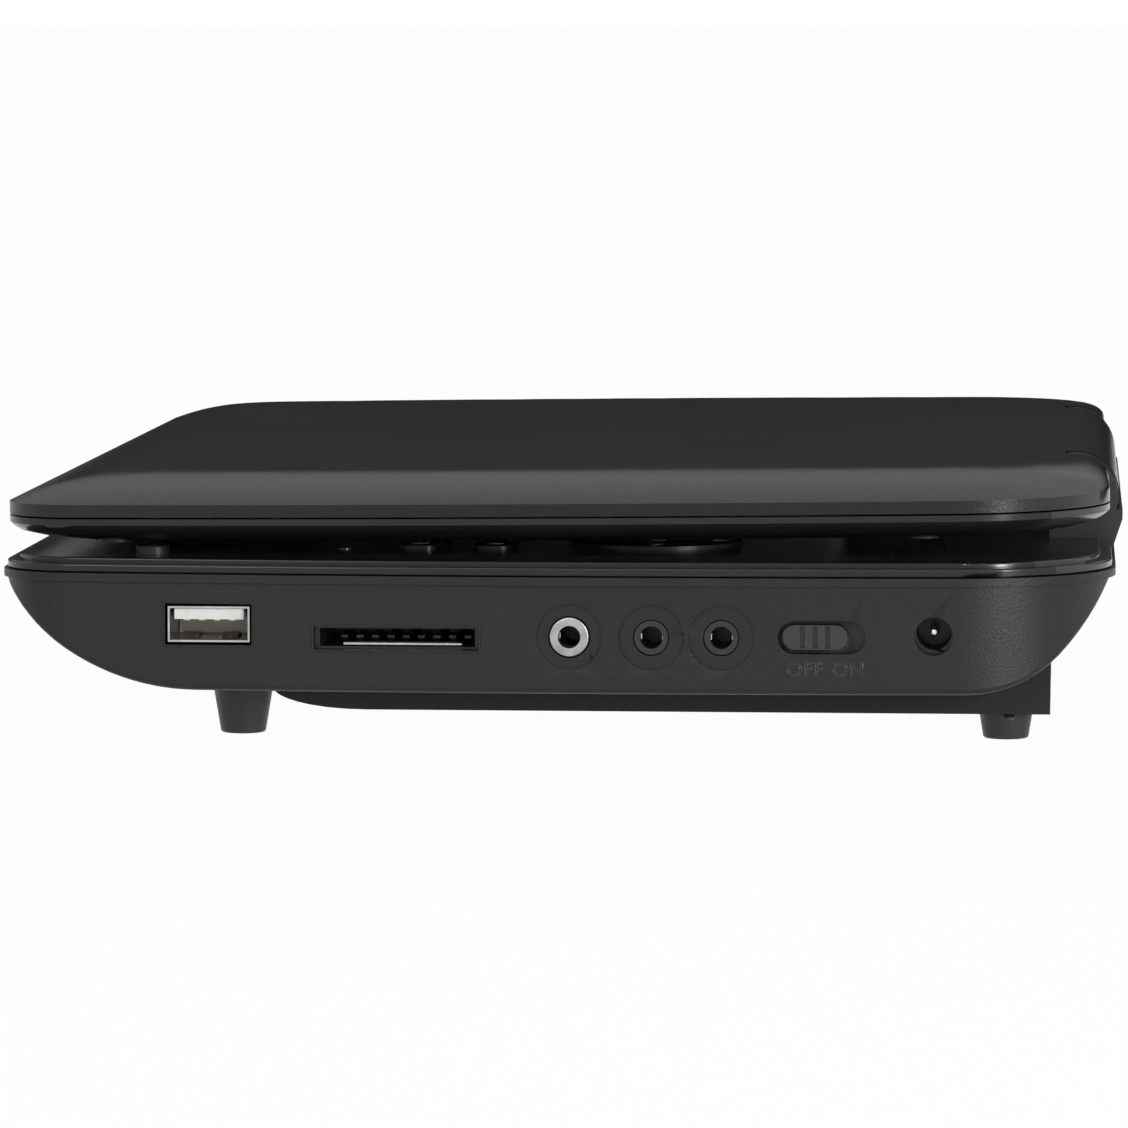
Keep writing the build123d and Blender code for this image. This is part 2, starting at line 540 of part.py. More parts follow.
# Pockets for the door's arms, with ears that hold the hinge pins.
DOOR_PIN_R = 1.2
for side in (-1, 1):
    x = WELL_X + side * DOOR_ARM_X
    half = DOOR_ARM_WIDTH / 2 + PART_GAP
    for ear in (-1, 1):
        ear_x = sorted((x + ear * half, x + ear * (half + 2.5)))
        deck += block(ear_x, (DOOR_AXIS_Y - 3, DOOR_AXIS_Y + 3), (DOOR_AXIS_Z - 3, DECK_UNDER_Z + 0.3))
    deck -= block((x - half, x + half), (WELL_Y + WELL_R - 12, DOOR_AXIS_Y + 3.6),
                  (DOOR_AXIS_Z - 3.3, DECK_TOP_Z + 1))
    deck -= bar_x((x - half - 3, x + half + 3), DOOR_AXIS_Y, DOOR_AXIS_Z, DOOR_PIN_R)

# Key holes.
KEY_PLACES = [(PAD_X + dx, dy) for dy in KEY_ROWS for dx in KEY_COLUMNS]
deck -= post(PAD_X, PAD_Y, (DECK_UNDER_Z - 1, DECK_TOP_Z + 1), PAD_R + KEY_GAP)


def key_block(x, y, z, grow):
    shape = Pos(x, y, 0) * RectangleRounded(KEY_SIZE[0] + 2 * grow, KEY_SIZE[1] + 2 * grow, 2.0 + grow)
    return slab(shape, z)


for x, y in KEY_PLACES:
    deck -= key_block(x, y, (DECK_UNDER_Z - 1, DECK_TOP_Z + 1), KEY_GAP)

# The open button of the door, on the deck in front of it, and the lamp beside the keys.
OPEN_X = HALF_WIDTH - 55.6
OPEN_Y = -62.0
OPEN_SIZE = (16.0, 8.0)
deck -= slab(Pos(OPEN_X, OPEN_Y) * RectangleRounded(
    OPEN_SIZE[0] + 2 * KEY_GAP, OPEN_SIZE[1] + 2 * KEY_GAP, 2.2), (DECK_UNDER_Z - 1, DECK_TOP_Z + 1))
LAMP = (PAD_X + 14.0, -36.0)
LAMP_R = 1.2
deck -= post(*LAMP, (DECK_UNDER_Z - 1, DECK_TOP_Z + 1), LAMP_R + RUNNING_GAP)
KEY_BOARD_X = (PAD_X - 20, PAD_X + 24)
KEY_BOARD_Y = (-46.0, PAD_Y + 18)
KEY_POSTS = [(x, y) for x in (KEY_BOARD_X[0] + 3, KEY_BOARD_X[1] - 3)
             for y in (KEY_BOARD_Y[0] + 3, KEY_BOARD_Y[1] - 3)]
for x, y in KEY_POSTS:
    deck += post(x, y, (KEY_BOARD_TOP_Z, DECK_UNDER_Z + 0.5), 2.2)
    deck -= post(x, y, (KEY_BOARD_TOP_Z - 1, DECK_UNDER_Z - 0.5), 0.9)
for boss in deck_bosses:
    deck += boss
# bumpers sit in shallow holes in the deck
BUMPERS = [(sx * (HALF_WIDTH - 11.1), FRONT_Y + 24.1) for sx in (-1, 1)]
BUMPER_R = 2.7
BUMPER_HEIGHT = 1.4
for x, y in BUMPERS:
    deck -= post(x, y, (DECK_TOP_Z - 0.6, DECK_TOP_Z + 1), BUMPER_R + RUNNING_GAP)

# Guide posts of the door catch, and its opening in the wall of the well.
CATCH_BAR_Y = WELL_Y - WELL_R - WELL_WALL - 1.7
CATCH_POST_X = (8.0, 40.0)
CATCH_POST_Y = CATCH_BAR_Y - 1.6
CATCH_POST_R = 1.4
CATCH_TRAVEL = 1.2
CATCH_NOSE_Z = (24.6, 25.8)
for x in CATCH_POST_X:
    deck += post(x, CATCH_POST_Y, (21.9, DECK_UNDER_Z + 0.5), CATCH_POST_R)
deck -= block((WELL_X - 3 - PART_GAP, WELL_X + 3 + PART_GAP), (CATCH_BAR_Y, WELL_Y - WELL_R + 2),
              (CATCH_NOSE_Z[0] - PART_GAP, CATCH_NOSE_Z[1] + PART_GAP))

# Steel hinge brackets stand up inside the knuckles and are screwed under the deck.
BRACKET_DISC_R = 4.6
BRACKET_THICK = 2.6
LEG_Y = (HINGE_Y - 3.0, HINGE_Y + 1.5)
BRACKET_FOOT_Z = (DECK_UNDER_Z - 4.4, DECK_UNDER_Z - 2.6)
brackets = []
pins = []
bracket_screws = []
for side in (-1, 1):
    middle = side * (KNUCKLE_X[0] + KNUCKLE_X[1]) / 2
    plate = (middle - BRACKET_THICK / 2, middle + BRACKET_THICK / 2)
    room = (plate[0] - FIT_GAP, plate[1] + FIT_GAP)
    deck -= bar_x(room, HINGE_Y, HINGE_Z, BRACKET_DISC_R + FIT_GAP)
    deck -= block(room, (LEG_Y[0] - FIT_GAP, LEG_Y[1] + FIT_GAP), (20, HINGE_Z))
    inner_wall = sorted((side * KNUCKLE_X[0] - side, middle))
    deck -= bar_x(inner_wall, HINGE_Y, HINGE_Z, PIN_R + FIT_GAP)
    bracket = bar_x(plate, HINGE_Y, HINGE_Z, BRACKET_DISC_R)
    bracket += block(plate, LEG_Y, (BRACKET_FOOT_Z[0], HINGE_Z))
    foot_x = sorted((side * (KNUCKLE_X[0] - 14), plate[1] if side > 0 else plate[0]))
    bracket += block(foot_x, (HINGE_Y - 12.5, LEG_Y[1]), BRACKET_FOOT_Z)
    bracket -= bar_x(room, HINGE_Y, HINGE_Z, PIN_R + RUNNING_GAP)
    screw_x = side * (KNUCKLE_X[0] - 8)
    screw_y = HINGE_Y - 9
    deck += post(screw_x, screw_y, (BRACKET_FOOT_Z[1], DECK_UNDER_Z + 0.3), 2.6)
    deck -= post(screw_x, screw_y, (BRACKET_FOOT_Z[1] - 1, DECK_UNDER_Z - 0.3), 1.0 + RUNNING_GAP)
    bracket -= post(screw_x, screw_y, (0, WIDE), 1.0 + FIT_GAP)
    bracket_screws.append(pan_screw(
        screw_x, screw_y, BRACKET_FOOT_Z[0], r=1.0, length=3.6, head_r=2.0, head=1.0))
    brackets.append(bracket)
    pin_inner = side * (BARREL_HALF - 12)
    pins.append(bar_x(sorted((pin_inner, middle + side * BRACKET_THICK / 2)), HINGE_Y, HINGE_Z, PIN_R))
write("deck", deck)
write("hinge_brackets", *brackets)
write("hinge_bracket_screws", *bracket_screws)
write("hinge_pins", *pins)
bumpers = []
for x, y in BUMPERS:
    bumper = post(x, y, (DECK_TOP_Z - 0.6, DECK_TOP_Z + BUMPER_HEIGHT), BUMPER_R)
    bumpers.append(fillet(bumper.edges().sort_by(Axis.Z)[-1], 0.4))
write("deck_bumpers", *bumpers)
write("status_lamp", post(*LAMP, (KEY_BOARD_TOP_Z, DECK_TOP_Z + 0.2), LAMP_R))

# ---------------------------------------------------------------- disc door
door_z = (DECK_TOP_Z + DOOR_PROUD - DOOR_THICK, DECK_TOP_Z + DOOR_PROUD)
door = post(WELL_X, WELL_Y, door_z, DOOR_R)
door = fillet(door.edges().sort_by(Axis.Z)[-1], 0.5)
door_pins = []
for side in (-1, 1):
    x = WELL_X + side * DOOR_ARM_X
    arm_x = (x - DOOR_ARM_WIDTH / 2, x + DOOR_ARM_WIDTH / 2)
    arm = side_profile(make_face(Polyline(
        (WELL_Y + WELL_R - 10, door_z[0] + 0.2), (WELL_Y + WELL_R - 10, door_z[0] - 1.0),
        (DOOR_AXIS_Y - 1.6, DOOR_AXIS_Z - 2.2), (DOOR_AXIS_Y + 1.6, DOOR_AXIS_Z - 2.2),
        (DOOR_AXIS_Y + 2.6, DOOR_AXIS_Z), (DOOR_AXIS_Y + 1.6, DOOR_AXIS_Z + 2.2),
        (WELL_Y + DOOR_R - 9, door_z[0] + 0.2), close=True)), arm_x)
    door += arm
    door -= bar_x((arm_x[0] - 1, arm_x[1] + 1), DOOR_AXIS_Y, DOOR_AXIS_Z, DOOR_PIN_R + RUNNING_GAP)
    door_pins.append(bar_x((arm_x[0] - 2.4, arm_x[1] + 2.4), DOOR_AXIS_Y, DOOR_AXIS_Z, DOOR_PIN_R))
# a tongue at the front goes down into the well for the catch
DOOR_TONGUE_Y = WELL_Y - WELL_R + 3.0
door += block((WELL_X - 5, WELL_X + 5), (DOOR_TONGUE_Y, DOOR_TONGUE_Y + 1.4),
              (door_z[0] - 3.4, door_z[0] + 0.2))
write("disc_door", door)
write("door_hinge_pins", *door_pins)

# ---------------------------------------------------------------- keys
key_top = DECK_TOP_Z + KEY_PROUD
flange_top = DECK_UNDER_Z - PART_GAP
key_flange = (flange_top - 1.0, flange_top)
stem_z = (KEY_BOARD_TOP_Z + 0.5 + KEY_TRAVEL + 0.2, flange_top - 0.5)


def deck_key(cap, flange, stem):
    return slab(cap, (flange_top - 0.1, key_top)) + slab(flange, key_flange) + slab(stem, stem_z)


pad_ring = Pos(PAD_X, PAD_Y) * (Circle(PAD_R) - Circle(ENTER_R + KEY_GAP))
pad_flange = Pos(PAD_X, PAD_Y) * (Circle(PAD_R + 1.4) - Circle(ENTER_R + 1.5 + KEY_GAP))
pad_stem = Pos(PAD_X, PAD_Y) * (Circle(PAD_R - 2.5) - Circle(ENTER_R + 2.5))
pad = deck_key(pad_ring, pad_flange, pad_stem)
pad -= post(PAD_X, PAD_Y, (0, flange_top + KEY_TRAVEL + PART_GAP), ENTER_R + 1.5 + KEY_GAP)
write("direction_pad", pad)
enter = slab(Pos(PAD_X, PAD_Y) * Circle(ENTER_R), (flange_top - 0.4, key_top))
enter += slab(Pos(PAD_X, PAD_Y) * Circle(ENTER_R + 1.2), key_flange)
enter += slab(Pos(PAD_X, PAD_Y) * Circle(2.0), stem_z)
write("enter_key", enter)
KEY_NAMES = ("menu_key", "mode_key", "play_key", "stop_key")
for name, (x, y) in zip(KEY_NAMES, KEY_PLACES):
    cap = Pos(x, y) * RectangleRounded(*KEY_SIZE, 2.0)
    flange = Pos(x, y) * RectangleRounded(KEY_SIZE[0] + 2, KEY_SIZE[1] + 2, 2.5)
    write(name, deck_key(cap, flange, Pos(x, y) * Circle(1.6)))

# The key board hangs under the deck on four posts, with a dome under each key.
key_board = block(KEY_BOARD_X, KEY_BOARD_Y, (KEY_BOARD_TOP_Z - 1.2, KEY_BOARD_TOP_Z))
for x, y in KEY_POSTS:
    key_board -= post(x, y, (0, WIDE), 1.1)
domes = [post(x, y, (KEY_BOARD_TOP_Z, KEY_BOARD_TOP_Z + 0.5), 2.2) for x, y in KEY_PLACES]
domes.append(post(PAD_X, PAD_Y, (KEY_BOARD_TOP_Z, KEY_BOARD_TOP_Z + 0.5), 2.2))
for turn in range(4):
    angle = math.radians(90 * turn)
    reach = (PAD_R + ENTER_R) / 2
    domes.append(post(PAD_X + reach * math.cos(angle), PAD_Y + reach * math.sin(angle),
                      (KEY_BOARD_TOP_Z, KEY_BOARD_TOP_Z + 0.5), 2.2))
write("key_board", key_board)
write("key_domes", *domes)
board_screws = [
    pan_screw(x, y, KEY_BOARD_TOP_Z - 1.2, r=0.85, length=3.6, head_r=1.8, head=0.9) for x, y in KEY_POSTS]

# Pressing the open button pushes the catch forward, away from the door's tongue.
catch_z = (KEY_BOARD_TOP_Z - 1.4, KEY_BOARD_TOP_Z)
open_cap = Pos(OPEN_X, OPEN_Y) * RectangleRounded(*OPEN_SIZE, 2.0)
open_flange = Pos(OPEN_X, OPEN_Y) * RectangleRounded(OPEN_SIZE[0] + 2, OPEN_SIZE[1] + 2, 2.5)
open_button = slab(open_cap, (flange_top - 0.1, key_top)) + slab(open_flange, key_flange)
open_button += block((OPEN_X - 3, OPEN_X + 3), (OPEN_Y - 2, OPEN_Y + 2),
                     (catch_z[1] + KEY_TRAVEL + 0.1, flange_top - 0.5))
write("open_button", open_button)

bar_y = (CATCH_BAR_Y - 0.9, CATCH_BAR_Y + 0.9)
catch = block((WELL_X - 4, OPEN_X + 4), bar_y, catch_z)
catch += block((OPEN_X - 4, OPEN_X + 4), (bar_y[0], OPEN_Y + 2.5), catch_z)
catch += block((WELL_X - 3, WELL_X + 3), (bar_y[0], DOOR_TONGUE_Y - PART_GAP), CATCH_NOSE_Z)
catch += block((WELL_X - 3, WELL_X + 3), bar_y, (catch_z[0], CATCH_NOSE_Z[1]))
for x in CATCH_POST_X:
    catch += block((x - 3.2, x + 3.2), (CATCH_POST_Y - 3.2, bar_y[1]), catch_z)
    catch -= block((x - CATCH_POST_R - RUNNING_GAP, x + CATCH_POST_R + RUNNING_GAP),
                   (CATCH_POST_Y, CATCH_POST_Y + CATCH_TRAVEL), (0, WIDE))
    for y in (CATCH_POST_Y, CATCH_POST_Y + CATCH_TRAVEL):
        catch -= post(x, y, (0, WIDE / 4), CATCH_POST_R + RUNNING_GAP)
write("door_catch", catch)

# ---------------------------------------------------------------- disc drive
# Frame: a plate with a window for the sled, a hole for the motor and bearings for the rods.
ROD_R = 1.5
ROD_Z = 16.6
ROD_REACH = 22.0
ROD_X = (TRAVERSE_X[0] + 1.5, WELL_X - 12.5)
LENS_START = 24.0
SLED_HALF = 8.0
SLED_Z = (15.0, 18.9)
SCREW_Y = WELL_Y + 29.5
LEAD_R = 1.4
MOTOR_R = 11.0
sled_window = (TRAVERSE_X[0] + 5, WELL_X - 13.5)

frame = block(TRAVERSE_X, (WELL_Y - TRAVERSE_HALF, WELL_Y + TRAVERSE_HALF), TRAVERSE_Z)
frame -= block(sled_window, (WELL_Y - 27, WELL_Y + 27), (0, WIDE))
for x, y in GROMMET_PLACES:
    inward = WELL_Y + (TRAVERSE_HALF - 3) * (1 if y > WELL_Y else -1)
    frame += post(x, y, TRAVERSE_Z, GROMMET_R + 2.5)
    frame += block((x - 4, x + 4), sorted((inward, y)), TRAVERSE_Z)
    frame -= post(x, y, (0, WIDE), GROMMET_R - 1.0)
for side in (-1, 1):
    for x in (ROD_X[0] + 1.5, ROD_X[1] - 1.5):
        y = WELL_Y + side * ROD_REACH
        frame += block((x - 1.5, x + 1.5), (y - 3, y + 3), (TRAVERSE_Z[0], ROD_Z + ROD_R + 0.8))
    frame -= bar_x(ROD_X, WELL_Y + side * ROD_REACH, ROD_Z, ROD_R + RUNNING_GAP)
frame += block((ROD_X[1] - 3, ROD_X[1]), (WELL_Y - 27.5, WELL_Y + 27.5), TRAVERSE_Z)
frame += block((TRAVERSE_X[0], TRAVERSE_X[0] + 1.6), (SCREW_Y - 5.5, SCREW_Y + 5.5),
               (TRAVERSE_Z[0], ROD_Z + 5))
SCREW_END_X = ROD_X[1]
frame += block((SCREW_END_X - 3, SCREW_END_X), (SCREW_Y - 2.6, SCREW_Y + 2.6), (TRAVERSE_Z[0], ROD_Z + 2.4))
frame -= bar_x((TRAVERSE_X[0] - 1, SCREW_END_X + 1), SCREW_Y, ROD_Z, LEAD_R + RUNNING_GAP)
frame -= post(WELL_X, WELL_Y, (0, WIDE), MOTOR_R + FIT_GAP)
write("traverse_frame", frame)
write("guide_rods", *[bar_x(ROD_X, WELL_Y + side * ROD_REACH, ROD_Z, ROD_R) for side in (-1, 1)])

grommets = []
for x, y in GROMMET_PLACES:
    low, high = TRAVERSE_Z[0] - GROMMET_FLANGE, TRAVERSE_Z[1] + GROMMET_FLANGE
    grommet = post(x, y, (low, high), GROMMET_R)
    grommet -= post(x, y, TRAVERSE_Z, GROMMET_R + 1) - post(x, y, TRAVERSE_Z, GROMMET_R - 1.05)
    grommets.append(grommet - post(x, y, (low - 1, high + 1), GROMMET_POST_R + RUNNING_GAP))
write("grommets", *grommets)

SHAFT_R = 1.0
SHAFT_Z = (13.2, 25.2)
HUB_TOP_Z = 23.8
motor = post(WELL_X, WELL_Y, (TRAVERSE_Z[0] - 1.4, 18.6), MOTOR_R)
motor += post(WELL_X, WELL_Y, (TRAVERSE_Z[1], TRAVERSE_Z[1] + 0.8), MOTOR_R + 1.2)
motor -= post(WELL_X, WELL_Y, (SHAFT_Z[0] - 0.4, WIDE / 4), SHAFT_R + RUNNING_GAP)
write("spindle_motor", motor)
write("spindle_shaft", post(WELL_X, WELL_Y, SHAFT_Z, SHAFT_R))

HUB_BOSS_R = 7.3
hub = post(WELL_X, WELL_Y, (HUB_TOP_Z - 1.2, HUB_TOP_Z), 15.0)
hub += post(WELL_X, WELL_Y, (19.2, HUB_TOP_Z - 1), 6.0)
boss = post(WELL_X, WELL_Y, (HUB_TOP_Z - 0.5, HUB_TOP_Z + 2.4), HUB_BOSS_R)
hub += fillet(boss.edges().sort_by(Axis.Z)[-1], 0.9)
hub -= post(WELL_X, WELL_Y, (0, SHAFT_Z[1] + 0.1), SHAFT_R + 0.01)
BALL_R = 0.9
balls = []
for turn in range(3):
    angle = math.radians(50 + 120 * turn)
    spot = Pos(WELL_X + (HUB_BOSS_R - 0.4) * math.cos(angle),
               WELL_Y + (HUB_BOSS_R - 0.4) * math.sin(angle), HUB_TOP_Z + 1.2)
    hub -= spot * Sphere(BALL_R + RUNNING_GAP)
    balls.append(spot * Sphere(BALL_R))
write("turntable", hub)
write("hub_balls", *balls)

lens_x = WELL_X - LENS_START
sled = block((lens_x - SLED_HALF, lens_x + SLED_HALF), (WELL_Y - 25.5, WELL_Y + 25.5), SLED_Z)
sled -= block((lens_x - SLED_HALF + 4, lens_x + SLED_HALF + 1), (WELL_Y + 10, WELL_Y + 17), (0, WIDE))
sled += block((lens_x - 4.5, lens_x + 4.5), (WELL_Y - 8, WELL_Y + 8), (SLED_Z[1] - 0.5, 21.6))
sled += block((lens_x - 4, lens_x + 4), (WELL_Y + 25, SCREW_Y - LEAD_R - 0.1), (ROD_Z - 1.2, ROD_Z + 1.2))
for side in (-1, 1):
    sled -= bar_x((lens_x - 20, lens_x + 20), WELL_Y + side * ROD_REACH, ROD_Z, ROD_R + RUNNING_GAP)
sled -= post(lens_x, WELL_Y, (20.6, 22), 3.6)
write("pickup_sled", sled)
lens = post(lens_x, WELL_Y, (20.6, 21.7), 3.2)
write("objective_lens", fillet(lens.edges().sort_by(Axis.Z)[-1], 0.9))
FEED_MOTOR_R = 5.0
lead = bar_x((TRAVERSE_X[0] - 3.0, SCREW_END_X - 0.5), SCREW_Y, ROD_Z, LEAD_R)
write("lead_screw", lead)
feed = bar_x((TRAVERSE_X[0] - 15, TRAVERSE_X[0]), SCREW_Y, ROD_Z, FEED_MOTOR_R)
feed -= bar_x((TRAVERSE_X[0] - 3.4, TRAVERSE_X[0] + 1), SCREW_Y, ROD_Z, LEAD_R + RUNNING_GAP)
write("feed_motor", feed)

# ---------------------------------------------------------------- main board and sockets
board = block(BOARD_X, BOARD_Y, (BOARD_TOP_Z - BOARD_THICK, BOARD_TOP_Z))
for x, y in SCREW_PLACES:
    board -= post(x, y, (0, WIDE / 4), BOSS_R + 1.0)
for x, y in BOARD_PILLARS:
    board -= post(x, y, (0, WIDE / 4), SCREW_R + FIT_GAP)
board -= post(FOOT_X, FOOT_FRONT_Y, (0, WIDE / 4), FOOT_BOSS_R + 0.8)
write("main_board", board)
# chips: distance from the board's inner edge, y, width, depth, height
CHIPS = [(14, -34, 20, 20, 1.6), (16, 2, 14, 14, 1.4), (29, -6, 10, 10, 1.2), (10, 34, 10, 6, 1.4),
         (28, 30, 9, 9, 2.6), (42, 42, 8, 8, 3.2), (14, -56, 12, 8, 1.4)]
chips = []
for reach, y, w, d, h in CHIPS:
    x = BOARD_X[0] + reach
    chips.append(block((x - w / 2, x + w / 2), (y - d / 2, y + d / 2), (BOARD_TOP_Z, BOARD_TOP_Z + h)))
write("board_chips", *chips)
for x, y in BOARD_PILLARS:
    screw = pan_screw(x, y, BOARD_TOP_Z, r=SCREW_R, length=BOARD_THICK + 1.0, head_r=2.3, head=1.2)
    board_screws.append(Pos(0, 0, 2 * BOARD_TOP_Z) * mirror(screw, Plane.XY))
write("board_screws", *board_screws)

port_face = side_x(DATA_PORT[0], WALL_INSET)
shell_x = (port_face - 0.5 - DATA_SHELL_DEPTH, port_face - 0.5)
data_shell = window_x(DATA_PORT, DATA_SHELL_SIZE, shell_x)
inner_size = [v - 2 * DATA_SHELL_SHEET for v in DATA_SHELL_SIZE]
data_shell -= window_x(DATA_PORT, inner_size, (shell_x[0] + DATA_SHELL_SHEET, shell_x[1] + 1))
for side in (-1, 1):
    leg = DATA_PORT[0] + side * (DATA_SHELL_SIZE[0] / 2 - 0.6)
    data_shell += block((shell_x[0] + 4, shell_x[0] + 7), (leg - 0.6, leg + 0.6),
                        (BOARD_TOP_Z, DATA_PORT[1] - DATA_SHELL_SIZE[1] / 2 + 0.1))
write("data_port_shell", data_shell)
data_tongue_z = (DATA_PORT[1] + 0.75, DATA_PORT[1] + 2.45)
tongue = block((shell_x[0] + 0.4, shell_x[1] - 0.6),
               (DATA_PORT[0] - 5.55, DATA_PORT[0] + 5.55), data_tongue_z)
tongue += block((shell_x[0] + 0.4, shell_x[0] + 2.4), (DATA_PORT[0] - 6.1, DATA_PORT[0] + 6.1),
                (DATA_PORT[1] - 2.45, DATA_PORT[1] + 2.45))
write("data_port_tongue", tongue)
write("data_port_contacts", *[
    block((shell_x[0] + 2.4, shell_x[1] - 1.4), (y - 0.5, y + 0.5),
          (data_tongue_z[0] - 0.25, data_tongue_z[0]))
    for y in (DATA_PORT[0] + (i - 1.5) * 2.4 for i in range(4))])

card_face = side_x(CARD_SLOT[0], WALL_INSET)
card_x = (card_face - SHELL_WALL - 0.6 - CARD_SOCKET_DEPTH, card_face - SHELL_WALL - 0.6)
card_z = (BOARD_TOP_Z, CARD_SLOT[1] + CARD_SLOT_SIZE[1] / 2 + 0.3)
socket = block(card_x, (CARD_SLOT[0] - 14.2, CARD_SLOT[0] + 14.2), card_z)
socket -= block((card_x[0] + 2.5, card_x[1] + 1), (CARD_SLOT[0] - 12.4, CARD_SLOT[0] + 12.4),
                (CARD_SLOT[1] - 1.5, CARD_SLOT[1] + 1.4))
write("card_socket", socket)
write("card_contacts", *[
    block((card_x[0] + 2.5, card_x[0] + 11), (y - 0.55, y + 0.55), (CARD_SLOT[1] - 1.5, CARD_SLOT[1] - 1.1))
    for y in (CARD_SLOT[0] + (i - 4) * 2.5 for i in range(9))])


def jack_body(jack, nose_r, nose_x, back_x):
    """A jack: a block on the board, a round nose through the wall, one bore."""
    y, z = jack
    shape = block(back_x, (y - 4.2, y + 4.2), (BOARD_TOP_Z, z + 3.4))
    if nose_x:
        shape += bar_x((back_x[1] - 0.5, nose_x), y, z, nose_r)
    front = nose_x or back_x[1]
    return shape - bar_x((front - JACK_DEPTH, front + 1), y, z, JACK_BORE_R)


nut_x = (nut_face_x - SHELL_WALL - 0.7, nut_face_x - 0.15)
nut = bar_x(nut_x, *HEADPHONE_JACK, NUT_R)
nut = fillet(nut.edges().sort_by(Axis.X)[-1], 0.3)
nut -= bar_x((nut_x[0] - 1, nut_x[1] + 1), *HEADPHONE_JACK, JACK_BORE_R)
write("headphone_nut", nut)
write("headphone_jack", jack_body(HEADPHONE_JACK, 0, None, (nut_x[0] - 14, nut_x[0])))
for name, jack in (("av_out_jack", AV_OUT_JACK), ("av_in_jack", AV_IN_JACK)):
    face = side_x(jack[0], WALL_INSET)
    body_x = (face - 16, face - SHELL_WALL - 0.5)
    write(name, jack_body(jack, JACK_NOSE_R, face - RECESS_DEPTH - 0.3, body_x))

dc_face = side_x(DC_INLET[0], WALL_INSET)
DC_AXIS_Z = DC_INLET[1] + 0.4
dc_x = (dc_face - SHELL_WALL - 0.8 - 12, dc_face - SHELL_WALL - 0.8)
dc_body = block(dc_x, (DC_INLET[0] - 4.5, DC_INLET[0] + 4.5), (BOARD_TOP_Z, DC_AXIS_Z + 4.2))
dc_body -= bar_x((dc_x[1] - 9.5, dc_x[1] + 1), DC_INLET[0], DC_AXIS_Z, DC_BORE_R)
write("dc_inlet_body", dc_body)
write("dc_inlet_pin", bar_x((dc_x[1] - 9.5, dc_x[1] - 1.0), DC_INLET[0], DC_AXIS_Z, DC_PIN_R))

# Power switch: the knob rides in the wall's slot, its lever in the switch body.
switch_face = side_x(POWER_SWITCH[0], WALL_INSET)
knob_z = POWER_SWITCH[1]
knob = slot_x(SWITCH_KNOB_Y, knob_z, SWITCH_KNOB_SIZE, (switch_face - 3.2, switch_face - 0.25))
for i in (-1, 0, 1):
    y = SWITCH_KNOB_Y + i * 2.0
    knob -= block((switch_face - 0.85, switch_face + 1), (y - 0.4, y + 0.4), (knob_z - 1.75, knob_z + 1.75))
plate_x = (switch_face - 4.1, switch_face - 3.1)
knob += block(plate_x, (SWITCH_KNOB_Y - 8.6, SWITCH_KNOB_Y + 8.6), (knob_z - 3.1, knob_z + 3.1))
knob += block((switch_face - 6.6, plate_x[0] + 0.1), (SWITCH_KNOB_Y - 1.2, SWITCH_KNOB_Y + 1.2),
              (knob_z - 1.2, knob_z + 1.2))
write("power_switch_knob", knob)
switch_x = (switch_face - 12.0, switch_face - 4.6)
switch = block(switch_x, (POWER_SWITCH[0] - 8, POWER_SWITCH[0] + 8), (BOARD_TOP_Z, knob_z + 3.2))
lever_room_y = (SWITCH_KNOB_Y - 1.2 - PART_GAP, SWITCH_KNOB_Y + 1.2 + SWITCH_TRAVEL + PART_GAP)
switch -= block((switch_face - 7.2, switch_face), lever_room_y,
                (knob_z - 1.2 - PART_GAP, knob_z + 1.2 + PART_GAP))
write("power_switch", switch)


# ---------------------------------------------------------------- lid
LID_HALF = HALF_WIDTH - FLANGE_PROUD


def lid_outline(side=0.0, front=0.0, rear=0.0):
    """The lid's plan shape, drawn in by its own amount at the sides, front and rear."""
    return outline(LID_HALF - side, LID_FRONT_Y + front, LID_REAR_Y - rear,
                   r_front=FRONT_CORNER_R - min(front, 3.0), r_rear=REAR_CORNER_R - min(rear, 6.0))


def crown(steps, drop, inset):
    """The cover's sloped band and flat top. It rises as a sine, and at the rear as a round edge."""
    sections = []
    for i in range(steps + 1):
        t = i / steps
        z = LID_RIM_TOP - drop + (LID_THICK - LID_RIM_TOP) * math.sin(t * math.pi / 2)
        sections.append(Pos(0, 0, z) * lid_outline(
            inset + CROWN_SIDE * t, inset + CROWN_FRONT * t,
            inset + CROWN_REAR * (1 - math.cos(t * math.pi / 2))))
    return loft(sections)


lid_axis = (HINGE_Y, AXIS_IN_LID)
hinge_limits = (-HUMP_HALF - KNUCKLE_GAP, HUMP_HALF + KNUCKLE_GAP)
hinge_room = block(hinge_limits, (HINGE_Y, WIDE / 2), (-20, 20)) + bar_x(
    hinge_limits, *lid_axis, BARREL_R + 0.2)

cover_form = slab(lid_outline(), (LID_SEAM + LID_SEAM_GAP, LID_RIM_TOP)) + crown(5, 0, 0)
cover = cover_form - slab(lid_outline(LID_WALL, LID_WALL, LID_WALL), (0, LID_RIM_TOP - LID_WALL + 0.4))
cover -= crown(5, LID_WALL - 0.4, LID_WALL)
cover -= hinge_room
barrel = bar_x((-BARREL_HALF, BARREL_HALF), *lid_axis, BARREL_R)
web = block((-BARREL_HALF, BARREL_HALF), (HINGE_Y - 9.5, HINGE_Y), (LID_THICK - LID_WALL, LID_THICK))
web += block((-BARREL_HALF, BARREL_HALF), (HINGE_Y - 8.6, HINGE_Y - 5),
             (LID_SEAM + LID_SEAM_GAP, LID_THICK - 1))
cover += barrel + web
cover -= bar_x((-BARREL_HALF + 13, BARREL_HALF - 13), *lid_axis, BARREL_BORE_R)
cover -= bar_x((-BARREL_HALF - 1, BARREL_HALF + 1), *lid_axis, PIN_R + RUNNING_GAP)
